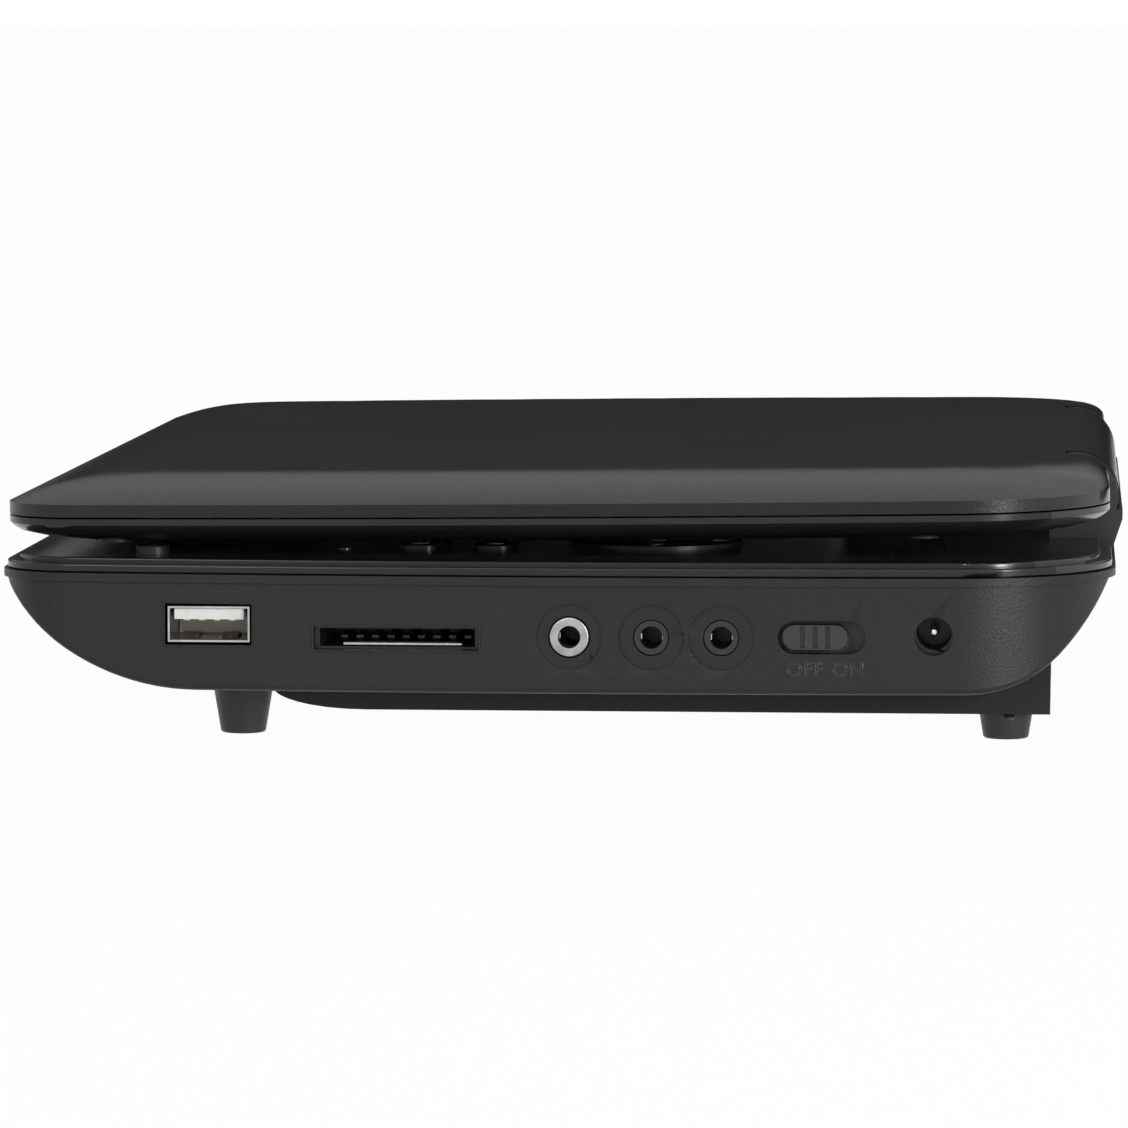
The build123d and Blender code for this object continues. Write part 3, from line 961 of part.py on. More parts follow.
LID_SCREWS = [(sx * (HALF_WIDTH - 10.6), y) for sx in (-1, 1)
              for y in (LID_FRONT_Y + 17.2, LID_REAR_Y - 29.8)]
for x, y in LID_SCREWS:
    cover += post(x, y, (LID_SEAM, LID_THICK), 3.4) & cover_form
    cover -= post(x, y, (LID_SEAM - 1, LID_SEAM + 3.4), 1.1 + RUNNING_GAP)
write("lid_cover", lid_place(cover))

# The bezel's underside swells from the rim down to the face round the screen.
SWELL = [(0.0, 3.5), (0.6, 2.9), (1.8, 2.15), (5.4, 1.1), (10.0, 0.3), (14.0, 0.0)]
bezel = slab(lid_outline(), (SWELL[0][1], LID_SEAM))
bezel += loft([Pos(0, 0, z) * lid_outline(i, i, i) for i, z in SWELL], ruled=True)
for inset, z in ((2.0, 3.9), (6.0, 3.0), (14.0, 1.6)):
    bezel -= slab(lid_outline(inset, inset, inset), (z, LID_SEAM + 1))
bezel -= hinge_room
bezel -= Pos(0, SCREEN_Y, 0) * Box(SCREEN_SIZE[0], SCREEN_SIZE[1], 20)
SPEAKER = (HALF_WIDTH - 41.6, LID_REAR_Y - 30.5)
SPEAKER_SIZE = (40.0, 22.0)
for side in (-1, 1):
    for row in range(5):
        y = SPEAKER[1] + (row - 2) * 3.0
        bezel -= slab(Pos(side * SPEAKER[0], y) * SlotOverall(30 - 3 * abs(row - 2), 1.2), (-1, 3))
for x, y in LID_SCREWS:
    bezel += post(x, y, (0.8, LID_SEAM), 3.6)
    bezel -= post(x, y, (-1, 2.0), 2.7)
    bezel -= post(x, y, (-1, LID_SEAM + 1), 1.1 + FIT_GAP)
write("lid_screws", *[
    lid_place(pan_screw(x, y, 2.0, r=1.1, length=5.0, head_r=2.2, head=1.0)) for x, y in LID_SCREWS])
write("screw_caps", *[lid_place(post(x, y, (0.1, 0.9), 2.6)) for x, y in LID_SCREWS])

panel_size = (SCREEN_SIZE[0] + 6, SCREEN_SIZE[1] + 6)
panel = Pos(0, SCREEN_Y, 1.6 + 0.7) * Box(*panel_size, 1.4)
bezel -= Pos(0, SCREEN_Y, 1.6 + 2) * Box(panel_size[0] + 2 * PART_GAP, panel_size[1] + 2 * PART_GAP, 4)
write("lid_bezel", lid_place(bezel))
write("display_panel", lid_place(panel))
tray = Pos(0, SCREEN_Y, 3.0 + 1.6) * Box(*panel_size, 3.2)
write("backlight", lid_place(tray))
write("lid_board", lid_place(block((-34, 34), (LID_REAR_Y - 39.8, LID_REAR_Y - 21.8), (2.4, 3.6))))
write("speakers", *[
    lid_place(slab(Pos(side * SPEAKER[0], SPEAKER[1]) * SlotOverall(*SPEAKER_SIZE), (1.7, 5.6)))
    for side in (-1, 1)])
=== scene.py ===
import bmesh
import bpy
import math
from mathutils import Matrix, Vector


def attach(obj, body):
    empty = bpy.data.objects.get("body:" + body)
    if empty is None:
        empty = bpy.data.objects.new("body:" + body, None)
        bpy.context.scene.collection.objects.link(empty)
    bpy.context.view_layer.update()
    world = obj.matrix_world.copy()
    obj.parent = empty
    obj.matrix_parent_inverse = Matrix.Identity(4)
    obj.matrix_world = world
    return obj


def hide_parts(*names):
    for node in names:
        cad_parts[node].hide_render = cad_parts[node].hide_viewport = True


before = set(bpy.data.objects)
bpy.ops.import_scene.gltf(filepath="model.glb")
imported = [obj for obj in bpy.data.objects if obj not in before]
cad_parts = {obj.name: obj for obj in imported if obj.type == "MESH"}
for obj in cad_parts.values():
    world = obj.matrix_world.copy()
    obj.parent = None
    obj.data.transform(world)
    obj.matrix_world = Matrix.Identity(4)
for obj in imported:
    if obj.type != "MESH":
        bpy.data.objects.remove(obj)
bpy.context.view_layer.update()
bpy.ops.object.select_all(action="DESELECT")

# ---------------------------------------------------------------- view of the photo
# A portable disc player, closed, seen from its socket side, just above the table, by a long lens.
# +X is the side with the sockets, -Y the front, +Y the hinge side. Lengths are in metres.
eye = Vector((1.2155, 0.08034, 0.12182))
aim = Vector((0.1183, 0.0013, 0.0289))
long_lens = bpy.data.cameras.new("long_lens")
long_lens.sensor_width = 36.0
long_lens.lens = 6955.0 / 1128.0 * 36.0
long_lens.clip_end = 20.0
camera = bpy.data.objects.new("camera", long_lens)
camera.location = eye
camera.rotation_euler = (aim - eye).to_track_quat("-Z", "Y").to_euler()
bpy.context.scene.collection.objects.link(camera)
bpy.context.scene.camera = camera
bpy.context.scene.view_settings.view_transform = "Standard"


# ---------------------------------------------------------------- table and studio
# A table and a room of white paper. The object's shadow stays on the table.
# One tall dark-to-grey card stands far behind the player, where the lid's glossy top mirrors it.
class Wire:
    """One value in a material, with the arithmetic of numbers."""

    def __init__(self, look, socket):
        self.look = look
        self.socket = socket

    def maths(self, operation, first, second):
        return self.look.node("ShaderNodeMath", {"operation": operation}, {0: first, 1: second})

    def __add__(self, other):
        return self.maths("ADD", self, other)

    def __radd__(self, other):
        return self.maths("ADD", other, self)

    def __sub__(self, other):
        return self.maths("SUBTRACT", self, other)

    def __mul__(self, other):
        return self.maths("MULTIPLY", self, other)

    def __rmul__(self, other):
        return self.maths("MULTIPLY", other, self)

    def __gt__(self, other):
        return self.maths("GREATER_THAN", self, other)

    def __lt__(self, other):
        return self.maths("LESS_THAN", self, other)

    def __abs__(self):
        return self.maths("ABSOLUTE", self, 0.0)


class Finish:
    """One material: its Principled surface, and the nodes that feed it."""

    def __init__(self, name, colour, roughness, metallic=0.0, gloss=0.5):
        self.material = bpy.data.materials.new(name)
        self.material.use_nodes = True
        self.tree = self.material.node_tree
        self.surface = self.tree.nodes["Principled BSDF"]
        self.set("Base Color", colour)
        self.set("Roughness", roughness)
        self.set("Metallic", metallic)
        self.set("Specular IOR Level", gloss)

    def node(self, kind, settings, inputs, output=0):
        """Adds a node: its settings first, then its inputs, then gives one output as a wire."""
        made = self.tree.nodes.new(kind)
        for key, value in settings.items():
            if key == "stops":
                for spot, (place, colour) in zip(made.color_ramp.elements, value):
                    spot.position = place
                    spot.color = colour + (1.0,)
                for place, colour in value[2:]:
                    made.color_ramp.elements.new(place).color = colour + (1.0,)
            else:
                setattr(made, key, value)
        for key, value in inputs.items():
            self.feed(made.inputs[key], value)
        return Wire(self, made.outputs[output])

    def feed(self, socket, value):
        if isinstance(value, Wire):
            self.tree.links.new(value.socket, socket)
        elif isinstance(value, tuple) and socket.type == "RGBA":
            socket.default_value = value + (1.0,)
        else:
            socket.default_value = value

    def set(self, name, value):
        self.feed(self.surface.inputs[name], value)

    def place(self):
        """Where a point of the piece is, in metres."""
        return self.node("ShaderNodeTexCoord", {}, {}, "Object")

    def axis(self, name):
        return self.node("ShaderNodeSeparateXYZ", {}, {0: self.place()}, name)

    def noise(self, per_metre, detail=2.0, rough=0.5):
        return self.node("ShaderNodeTexNoise", {}, {
            "Vector": self.place(), "Scale": per_metre, "Detail": detail, "Roughness": rough})

    def cells(self, per_metre, feature="F1"):
        return self.node("ShaderNodeTexVoronoi", {"feature": feature}, {
            "Vector": self.place(), "Scale": per_metre})

    def blend(self, low, high, amount):
        """One colour at 0, the other at 1."""
        return self.node("ShaderNodeMix", {"data_type": "RGBA"}, {0: amount, 6: low, 7: high}, 2)

    def colours(self, low, high, amount):
        """The surface runs from one colour to the other."""
        self.set("Base Color", self.blend(low, high, amount))

    def relief(self, height, depth, strength=1.0):
        """A height from 0 to 1 that stands for a depth in metres."""
        self.set("Normal", self.node("ShaderNodeBump", {}, {
            "Strength": strength, "Distance": depth, "Height": height}))


def grey(level):
    return (level, level, level)


def seen_directly(look):
    """1 for rays from the camera, a mirror or glass, and 0 for the light that the surface gives."""
    rays = look.tree.nodes.new("ShaderNodeLightPath")
    total = Wire(look, rays.outputs["Is Camera Ray"]) + Wire(look, rays.outputs["Is Glossy Ray"])
    total = total + Wire(look, rays.outputs["Is Transmission Ray"])
    return look.node("ShaderNodeMath", {"operation": "MINIMUM"}, {0: total, 1: 1.0})


paper = Finish("table_paper", grey(0.80), 0.9, gloss=0.2)
white = paper.node("ShaderNodeEmission", {}, {"Color": grey(1.0), "Strength": 1.0})
mixed = paper.node("ShaderNodeMixShader", {}, {
    0: seen_directly(paper) * 0.97, 1: Wire(paper, paper.surface.outputs[0]), 2: white})
paper.tree.links.new(mixed.socket, paper.tree.nodes["Material Output"].inputs[0])
bpy.ops.mesh.primitive_plane_add(size=30.0, location=(0.0, 0.0, -0.0002))
table = bpy.context.object
table.name = "table"
table.data.materials.append(paper.material)

room = bpy.data.worlds.new("room")
bpy.context.scene.world = room
room.use_nodes = True
light = room.node_tree.nodes.new("ShaderNodeLightPath")
any_seen = room.node_tree.nodes.new("ShaderNodeMath")
any_seen.operation = "ADD"
room.node_tree.links.new(light.outputs["Is Camera Ray"], any_seen.inputs[0])
room.node_tree.links.new(light.outputs["Is Glossy Ray"], any_seen.inputs[1])
also_glass = room.node_tree.nodes.new("ShaderNodeMath")
also_glass.operation = "ADD"
also_glass.use_clamp = True
room.node_tree.links.new(any_seen.outputs[0], also_glass.inputs[0])
room.node_tree.links.new(light.outputs["Is Transmission Ray"], also_glass.inputs[1])
level = room.node_tree.nodes.new("ShaderNodeMapRange")
level.inputs["To Min"].default_value = 0.28
level.inputs["To Max"].default_value = 1.0
room.node_tree.links.new(also_glass.outputs[0], level.inputs["Value"])
background = room.node_tree.nodes["Background"]
background.inputs["Color"].default_value = (1.0, 1.0, 1.0, 1.0)
room.node_tree.links.new(level.outputs[0], background.inputs["Strength"])

card_look = Finish("backdrop_card", (0.0, 0.0, 0.0), 1.0)
card_glow = card_look.node("ShaderNodeValToRGB", {"stops": (
    (0.0, grey(0.020)), (1.0, grey(0.20)), (0.22, grey(0.030)), (0.36, grey(0.34)),
    (0.46, grey(0.62)), (0.56, grey(0.40)), (0.68, grey(0.20)))}, {0: card_look.axis("Z")})
card_light = card_look.node("ShaderNodeEmission", {}, {"Color": card_glow, "Strength": 1.0})
card_look.tree.links.new(card_light.socket, card_look.tree.nodes["Material Output"].inputs[0])
bpy.ops.mesh.primitive_plane_add(size=1.0)
card = bpy.context.object
card.name = "backdrop_card"
card.scale = (1.0, 3.0, 1.0)
card.rotation_euler = (0.0, math.radians(90.0), 0.0)
card.location = (-1.0, 0.0, 0.5)
bpy.ops.object.transform_apply(location=True, rotation=True, scale=True)
card.data.materials.append(card_look.material)
card.visible_camera = False
card.visible_diffuse = False
card.visible_shadow = False
card.visible_transmission = False


def softbox(name, place, size, watts):
    """A soft lamp that faces the player."""
    lamp = bpy.data.lights.new(name, "AREA")
    lamp.shape = "RECTANGLE"
    lamp.size, lamp.size_y = size
    lamp.energy = watts
    holder = bpy.data.objects.new(name, lamp)
    holder.location = place
    holder.rotation_euler = (-Vector(place)).to_track_quat("-Z", "Y").to_euler()
    bpy.context.scene.collection.objects.link(holder)


softbox("over_table", (0.1, 0.0, 1.3), (0.9, 0.9), 7.0)
softbox("near_front", (1.30, -0.45, 0.62), (0.35, 0.5), 4.0)
softbox("near_rear", (0.90, 0.80, 0.24), (0.10, 0.40), 7.5)

# ---------------------------------------------------------------- bottom shell
# The tub of the base, injection moulded in black plastic with a fine spark texture.
# Side cores of the mould left an upright witness line near each end of the wall.


def drop_selection():
    bpy.ops.object.select_all(action="DESELECT")


def edit_all():
    """Opens the active piece for editing, with all of it selected."""
    bpy.ops.object.mode_set(mode="EDIT")
    bpy.ops.mesh.select_all(action="SELECT")


def leave_edit():
    bpy.ops.object.mode_set(mode="OBJECT")


def moulded_part(node, body, look, angle=28.0):
    """A copy of the node's own shape, welded and shaded as one smooth part, takes its place."""
    part = bpy.data.objects.new(node + "_part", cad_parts[node].data.copy())
    bpy.context.scene.collection.objects.link(part)
    shape = bmesh.new()
    shape.from_mesh(part.data)
    bmesh.ops.remove_doubles(shape, verts=shape.verts, dist=0.000002)
    bmesh.ops.dissolve_degenerate(shape, edges=shape.edges, dist=0.000002)
    bmesh.ops.dissolve_limit(shape, angle_limit=math.radians(0.03), verts=[], edges=shape.edges)
    shape.to_mesh(part.data)
    shape.free()
    part.data.materials.clear()
    part.data.materials.append(look.material)
    drop_selection()
    part.select_set(True)
    bpy.context.view_layer.objects.active = part
    bpy.ops.object.shade_smooth_by_angle(angle=math.radians(angle))
    even = part.modifiers.new("even", "WEIGHTED_NORMAL")
    even.keep_sharp = True
    even.weight = 50
    bpy.ops.object.modifier_apply(modifier="even")
    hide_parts(node)
    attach(part, body)


def added_part(name, body, look):
    """The active piece, made in place, gets its name, finish and body."""
    part = bpy.context.object
    part.name = name
    bpy.ops.object.transform_apply(location=True, rotation=True, scale=True)
    part.data.materials.clear()
    part.data.materials.append(look.material)
    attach(part, body)
    return part


spark_black = Finish("spark_black", (0.010, 0.010, 0.011), 0.5, gloss=0.32)
spark = spark_black.noise(2400.0, 3.0, 0.62)
dust = (spark_black.noise(2600.0, 2.0, 0.5) > 0.70) * 0.6
shade = spark_black.noise(55.0, 4.0, 0.65) * 0.4 + spark * 0.6 + dust
spark_black.colours((0.0030, 0.0030, 0.0033), (0.0145, 0.0145, 0.0157), shade)
spark_black.set("Roughness", 0.30 + 0.24 * spark)
along_wall = spark_black.axis("Y")
line_half_width = 0.00011
witness = (abs(along_wall + 0.0815) < line_half_width) + (abs(along_wall - 0.0812) < line_half_width)
spark_black.relief(spark + witness * 1.6, 0.00006, 1.0)
moulded_part("bottom_shell", "base", spark_black)


# The wall bows outward, as a wide arc about a middle that is a little forward.
bow_radius = 0.9546
bow_top_x = 0.1212
bow_middle_y = -0.00065


def wall_x(y):
    """X of the side wall's face at y."""
    return bow_top_x - (y - bow_middle_y) ** 2 / (2 * bow_radius)


def stand_on_wall(part, y, z, sink=0.0):
    """Turns a piece that was made lying on XY to face out of the wall, and sets it there."""
    facing = (y - bow_middle_y) / bow_radius
    part.rotation_euler = (math.radians(90.0), 0.0, math.radians(90.0) + facing)
    part.location = (wall_x(y) - sink, y, z)


# Raised words under the switch, drawn as thin outlines. Their colour is lighter than the wall's,
# a painted highlight for the light their raised edges catch.
word_black = Finish("word_black", (0.035, 0.035, 0.037), 0.26)
word_wear_and_highlight = word_black.noise(1500.0, 3.0, 0.6)
# Both colours are lighter than the wall's plastic, painted highlight on the raised letters.
word_black.colours((0.014, 0.014, 0.015), (0.048, 0.048, 0.050), word_wear_and_highlight)
word_black.set("Roughness", 0.18 + 0.2 * word_wear_and_highlight)
word_z = 0.01243
for word, word_y in (("OFF", 0.03961), ("ON", 0.04649)):
    drop_selection()
    bpy.ops.object.text_add()
    lettering = bpy.context.object.data
    lettering.body = word
    lettering.size = 0.00305
    lettering.space_character = 1.12
    lettering.align_x = "CENTER"
    lettering.align_y = "CENTER"
    lettering.fill_mode = "NONE"
    lettering.bevel_depth = 0.00009
    lettering.bevel_resolution = 1
    bpy.ops.object.convert(target="MESH")
    stand_on_wall(bpy.context.object, word_y, word_z)
    added_part("word_" + word.lower(), "base", word_black)


def sized(part, size):
    """The active piece, made one metre wide, takes its real size."""
    part.scale = size
    bpy.ops.object.transform_apply(location=False, rotation=False, scale=True)


def window_lip(name, y, z, width, height):
    """A thin raised frame round a window in the side wall, in the wall's own plastic."""
    band = 0.00028
    thickness = 0.0003
    sink = 0.00016
    drop_selection()
    bpy.ops.mesh.primitive_plane_add(size=1.0)
    lip = bpy.context.object
    sized(lip, (width + 2 * band, height + 2 * band, 1.0))
    edit_all()
    bpy.ops.mesh.inset(thickness=band)
    bpy.ops.mesh.delete(type="FACE")
    bpy.ops.mesh.select_all(action="SELECT")
    bpy.ops.mesh.extrude_region_move(TRANSFORM_OT_translate={"value": (0.0, 0.0, thickness)})
    bpy.ops.mesh.select_all(action="SELECT")
    bpy.ops.mesh.normals_make_consistent(inside=False)
    bpy.ops.mesh.bevel(offset=0.00008, segments=2)
    leave_edit()
    stand_on_wall(lip, y, z, sink)
    added_part(name, "base", spark_black)


window_lip("data_port_lip", -0.0554, 0.0190, width=0.0140, height=0.0066)
window_lip("card_slot_lip", -0.0253, 0.01705, width=0.0264, height=0.0037)

# ---------------------------------------------------------------- battery
# A flat pack of foil cells in a moulded case, clipped under the base by a sliding latch.
# Gold plated springs in its heel meet the base.
pack_black = Finish("pack_black", (0.010, 0.010, 0.011), 0.55, gloss=0.3)
pack_grain = pack_black.noise(1500.0, 3.0, 0.6)
pack_black.colours((0.006, 0.006, 0.0064), (0.013, 0.013, 0.014), pack_black.noise(70.0, 4.0, 0.6))
pack_black.set("Roughness", 0.45 + 0.2 * pack_grain)
pack_black.relief(pack_grain, 0.00005, 0.8)
moulded_part("battery_case", "base", pack_black)
moulded_part("battery_latch", "battery_latch", pack_black)
foil = Finish("cell_foil", (0.62, 0.62, 0.64), 0.3, 1.0)
foil_folds = foil.noise(130.0, 5.0, 0.6)
foil.set("Roughness", 0.22 + 0.25 * foil_folds)
foil.colours((0.54, 0.54, 0.56), (0.72, 0.72, 0.73), foil.noise(40.0, 3.0))
foil.relief(foil_folds, 0.00012, 0.5)
moulded_part("battery_cells", "base", foil)
gold_flash = Finish("gold_flash", (0.83, 0.62, 0.30), 0.28, 1.0)
gold_flash.set("Roughness", 0.2 + 0.2 * gold_flash.noise(2500.0, 3.0))
gold_flash.colours((0.74, 0.52, 0.22), (0.90, 0.70, 0.38), gold_flash.noise(900.0, 3.0))
moulded_part("battery_contacts", "base", gold_flash)

# ---------------------------------------------------------------- feet and screws of the base
# Four tapered rubber feet with moulded pegs. Steel screws go up through the shell into the deck.
foot_rubber = Finish("foot_rubber", grey(0.018), 0.5, gloss=0.4)
rubber_bloom = foot_rubber.noise(420.0, 4.0, 0.65)
foot_rubber.colours((0.009, 0.009, 0.0095), (0.030, 0.030, 0.031), rubber_bloom)
foot_rubber.set("Roughness", 0.34 + 0.22 * rubber_bloom)
foot_rubber.relief(foot_rubber.noise(1800.0, 3.0), 0.00003, 0.7)
moulded_part("rubber_feet", "base", foot_rubber)
zinc_steel = Finish("zinc_steel", (0.52, 0.52, 0.51), 0.34, 1.0)
zinc_cloud = zinc_steel.noise(1300.0, 3.0, 0.6)
zinc_steel.set("Roughness", 0.26 + 0.2 * zinc_cloud)
zinc_steel.colours(grey(0.42), (0.62, 0.62, 0.60), zinc_cloud)
moulded_part("shell_screws", "base", zinc_steel)

# ---------------------------------------------------------------- main board
# The board lies on pillars along the socket side. It carries the sockets, the chips and
# three upright capacitors, all soldered to green laminate.
green_laminate = Finish("green_laminate", (0.012, 0.08, 0.03), 0.32)
tracks = green_laminate.cells(420.0, "DISTANCE_TO_EDGE") < 0.06
weave = green_laminate.noise(1400.0, 2.0)
laminate = green_laminate.blend((0.008, 0.052, 0.020), (0.014, 0.080, 0.032), weave)
green_laminate.colours(laminate, (0.03, 0.15, 0.06), tracks)
green_laminate.set("Roughness", 0.26 + 0.16 * weave)
green_laminate.relief(tracks, 0.00003, 0.6)
moulded_part("main_board", "base", green_laminate)
chip_black = Finish("chip_black", (0.012, 0.012, 0.013), 0.55)
chip_grit = chip_black.noise(2600.0, 3.0, 0.6)
chip_black.colours((0.008, 0.008, 0.009), (0.022, 0.022, 0.023), chip_grit)
chip_black.relief(chip_grit, 0.00003, 0.8)
moulded_part("board_chips", "base", chip_black)
moulded_part("board_screws", "base", zinc_steel)
can_sleeve = Finish("can_sleeve", (0.02, 0.022, 0.03), 0.3)
can_depth = 0.0068
can_middle_z = 0.0176
can_top = can_sleeve.axis("Z") > 0.0206
can_sleeve.colours((0.012, 0.014, 0.024), (0.60, 0.60, 0.61), can_top)
can_sleeve.set("Metallic", can_top)
can_sleeve.set("Roughness", 0.24 + 0.18 * can_sleeve.noise(900.0, 2.0))
for count, (can_x, can_y) in enumerate(((0.0930, -0.0180), (0.0930, -0.0260), (0.0760, 0.0480))):
    drop_selection()
    bpy.ops.mesh.primitive_cylinder_add(
        vertices=40, radius=0.003, depth=can_depth, location=(can_x, can_y, can_middle_z))
    bpy.ops.object.mode_set(mode="EDIT")
    bpy.ops.mesh.select_all(action="DESELECT")
    leave_edit()
    for face in bpy.context.object.data.polygons:
        face.select = face.normal.z > 0.9
    bpy.ops.object.mode_set(mode="EDIT")
    bpy.ops.mesh.bevel(offset=0.0004, segments=3)
    bpy.ops.mesh.inset(thickness=0.0004, depth=-0.00015)
    leave_edit()
    bpy.ops.object.shade_smooth_by_angle(angle=math.radians(35.0))
    added_part("can_%d" % (count + 1), "base", can_sleeve)

# ---------------------------------------------------------------- data port
# A folded, nickel plated steel shell round a white tongue with four gold contacts.
# Two leaf springs are stamped in its floor and hold the plug.
nickel = Finish("nickel", (0.70, 0.69, 0.66), 0.28, 1.0)
nickel_wear = nickel.noise(1700.0, 3.0, 0.6)
nickel.set("Roughness", 0.20 + 0.22 * nickel_wear)
nickel.colours((0.34, 0.33, 0.32), (0.62, 0.61, 0.59), nickel.noise(500.0, 3.0))
moulded_part("data_port_shell", "base", nickel)
white_nylon = Finish("white_nylon", (0.72, 0.72, 0.70), 0.45)
nylon_cloud = white_nylon.noise(500.0, 3.0)
white_nylon.colours((0.62, 0.62, 0.60), (0.80, 0.80, 0.78), nylon_cloud)
white_nylon.set("Roughness", 0.38 + 0.16 * nylon_cloud)
moulded_part("data_port_tongue", "base", white_nylon)
moulded_part("data_port_contacts", "base", gold_flash)
spring_length = 0.0060
spring_rise = 0.0009
for count, spring_y in enumerate((-0.0588, -0.0524)):
    drop_selection()
    bpy.ops.mesh.primitive_plane_add(size=1.0)
    spring = bpy.context.object
    sized(spring, (spring_length, 0.0026, 1.0))
    edit_all()
    bpy.ops.mesh.subdivide(number_cuts=7)
    leave_edit()
    for point in spring.data.vertices:
        along = point.co.x / spring_length + 0.5
        point.co.z = spring_rise * math.sin(math.pi * min(1.0, along * 1.15)) - 0.0001
    edit_all()
    bpy.ops.mesh.extrude_region_move(TRANSFORM_OT_translate={"value": (0.0, 0.0, -0.00018)})
    bpy.ops.mesh.select_all(action="SELECT")
    bpy.ops.mesh.normals_make_consistent(inside=False)
    leave_edit()
    bpy.ops.object.shade_smooth_by_angle(angle=math.radians(35.0))
    spring.location = (0.1135, spring_y, 0.01655)
    added_part("data_port_spring_%d" % (count + 1), "base", nickel)

# ---------------------------------------------------------------- card slot
# A black moulded socket behind the wall, with a row of gold contacts and a steel guide
# strip along its floor that can be seen through the slot.
satin_nylon = Finish("satin_nylon", grey(0.010), 0.35)
nylon_flow = satin_nylon.noise(900.0, 3.0, 0.6)
satin_nylon.set("Roughness", 0.28 + 0.18 * nylon_flow)
satin_nylon.colours(grey(0.006), grey(0.017), nylon_flow)
moulded_part("card_socket", "base", satin_nylon)
# The card contacts get a darkened gold, painted shade for the dim socket behind the slot.
gold_painted_shade = Finish("gold_painted_shade", (0.22, 0.18, 0.11), 0.45, 1.0)
gold_painted_shade.colours((0.14, 0.12, 0.08), (0.34, 0.27, 0.16), gold_painted_shade.noise(1600.0, 3.0, 0.6))
gold_painted_shade.set("Roughness", 0.36 + 0.2 * gold_painted_shade.noise(2400.0, 2.0))
moulded_part("card_contacts", "base", gold_painted_shade)


def eased_bar(size, edge):
    """A small bar with its edges rounded."""
    drop_selection()
    bpy.ops.mesh.primitive_cube_add(size=1.0)
    bar = bpy.context.object
    sized(bar, size)
    edit_all()
    bpy.ops.mesh.bevel(offset=edge, segments=2)
    leave_edit()
    return bar


guide = eased_bar((0.0028, 0.0190, 0.0004), 0.0001)
guide.location = (0.1164, -0.0245, 0.01590)
added_part("card_guide", "base", zinc_steel)

# ---------------------------------------------------------------- jacks
# Three round jacks on the board. The headphone jack has a turned nut of bright nickel, the
# other two show their black noses. Each has a leaf spring at either side of its bore.
moulded_part("headphone_jack", "base", satin_nylon)
bright_nickel = Finish("bright_nickel", (0.78, 0.78, 0.77), 0.22, 1.0)
turning = bright_nickel.noise(2400.0, 3.0, 0.6)
bright_nickel.set("Roughness", 0.16 + 0.22 * turning)
bright_nickel.colours((0.62, 0.62, 0.61), (0.86, 0.86, 0.85), bright_nickel.noise(700.0, 3.0))
turned_nut = Finish("turned_nut", grey(0.46), 0.3, 1.0)
from_axis = turned_nut.node("ShaderNodeVectorMath", {"operation": "SUBTRACT"}, {
    0: turned_nut.place(), 1: (0.0, 0.0023, 0.0175)})
nut_rings = turned_nut.node("ShaderNodeTexWave", {"wave_type": "RINGS", "rings_direction": "X"}, {
    "Vector": from_axis, "Scale": 900.0, "Distortion": 1.0}, "Fac")
# Dark patches in the nut's colour are painted shade, standing in for the shading across the ring.
turned_nut.colours(grey(0.16), (0.62, 0.62, 0.61), turned_nut.noise(420.0, 3.0, 0.6))
turned_nut.set("Roughness", 0.22 + 0.20 * nut_rings)
moulded_part("headphone_nut", "base", turned_nut)
moulded_part("av_out_jack", "base", satin_nylon)
moulded_part("av_in_jack", "base", satin_nylon)
leaf_reach = 0.00145
leaf_lean = math.radians(6.0)
for count, (jack_y, jack_z) in enumerate(((0.0023, 0.0175), (0.0153, 0.01745), (0.0264, 0.01745))):
    for side, side_name in ((-1, "left"), (1, "right")):
        leaf = eased_bar((0.0050, 0.00022, 0.0010), 0.00006)
        leaf.rotation_euler = (0.0, 0.0, leaf_lean * side)
        leaf.location = (0.1155, jack_y + side * leaf_reach, jack_z)
        leaf_name = "jack_leaf_%d_%s" % (count + 1, side_name)
        added_part(leaf_name, "base", bright_nickel)

# ---------------------------------------------------------------- DC inlet
# A black socket body behind the round hole in the wall, with a turned centre pin.
# The pin's tip is rounded.
moulded_part("dc_inlet_body", "base", satin_nylon, angle=20.0)
moulded_part("dc_inlet_pin", "base", bright_nickel)
drop_selection()
bpy.ops.mesh.primitive_uv_sphere_add(segments=32, ring_count=16, radius=0.0008)
tip = bpy.context.object
tip.scale = (0.7, 1.0, 1.0)
bpy.ops.object.shade_smooth()
tip.location = (0.11547, 0.0600, 0.0182)
added_part("dc_pin_tip", "base", bright_nickel)

# ---------------------------------------------------------------- power switch
# The knob slides in an obround slot of the wall and carries the lever of the switch behind it.
# It is moulded in the same black plastic as the shell, with three grip grooves.
knob_black = Finish("knob_black", (0.020, 0.020, 0.021), 0.42, gloss=0.45)
knob_wear = knob_black.noise(1500.0, 3.0, 0.6)
knob_black.colours((0.014, 0.014, 0.015), (0.034, 0.034, 0.036), knob_wear)
knob_black.set("Roughness", 0.34 + 0.16 * knob_wear)
knob_black.relief(knob_wear, 0.00003, 0.7)
moulded_part("power_switch_knob", "power_knob", knob_black, angle=16.0)
moulded_part("power_switch", "base", satin_nylon, angle=16.0)

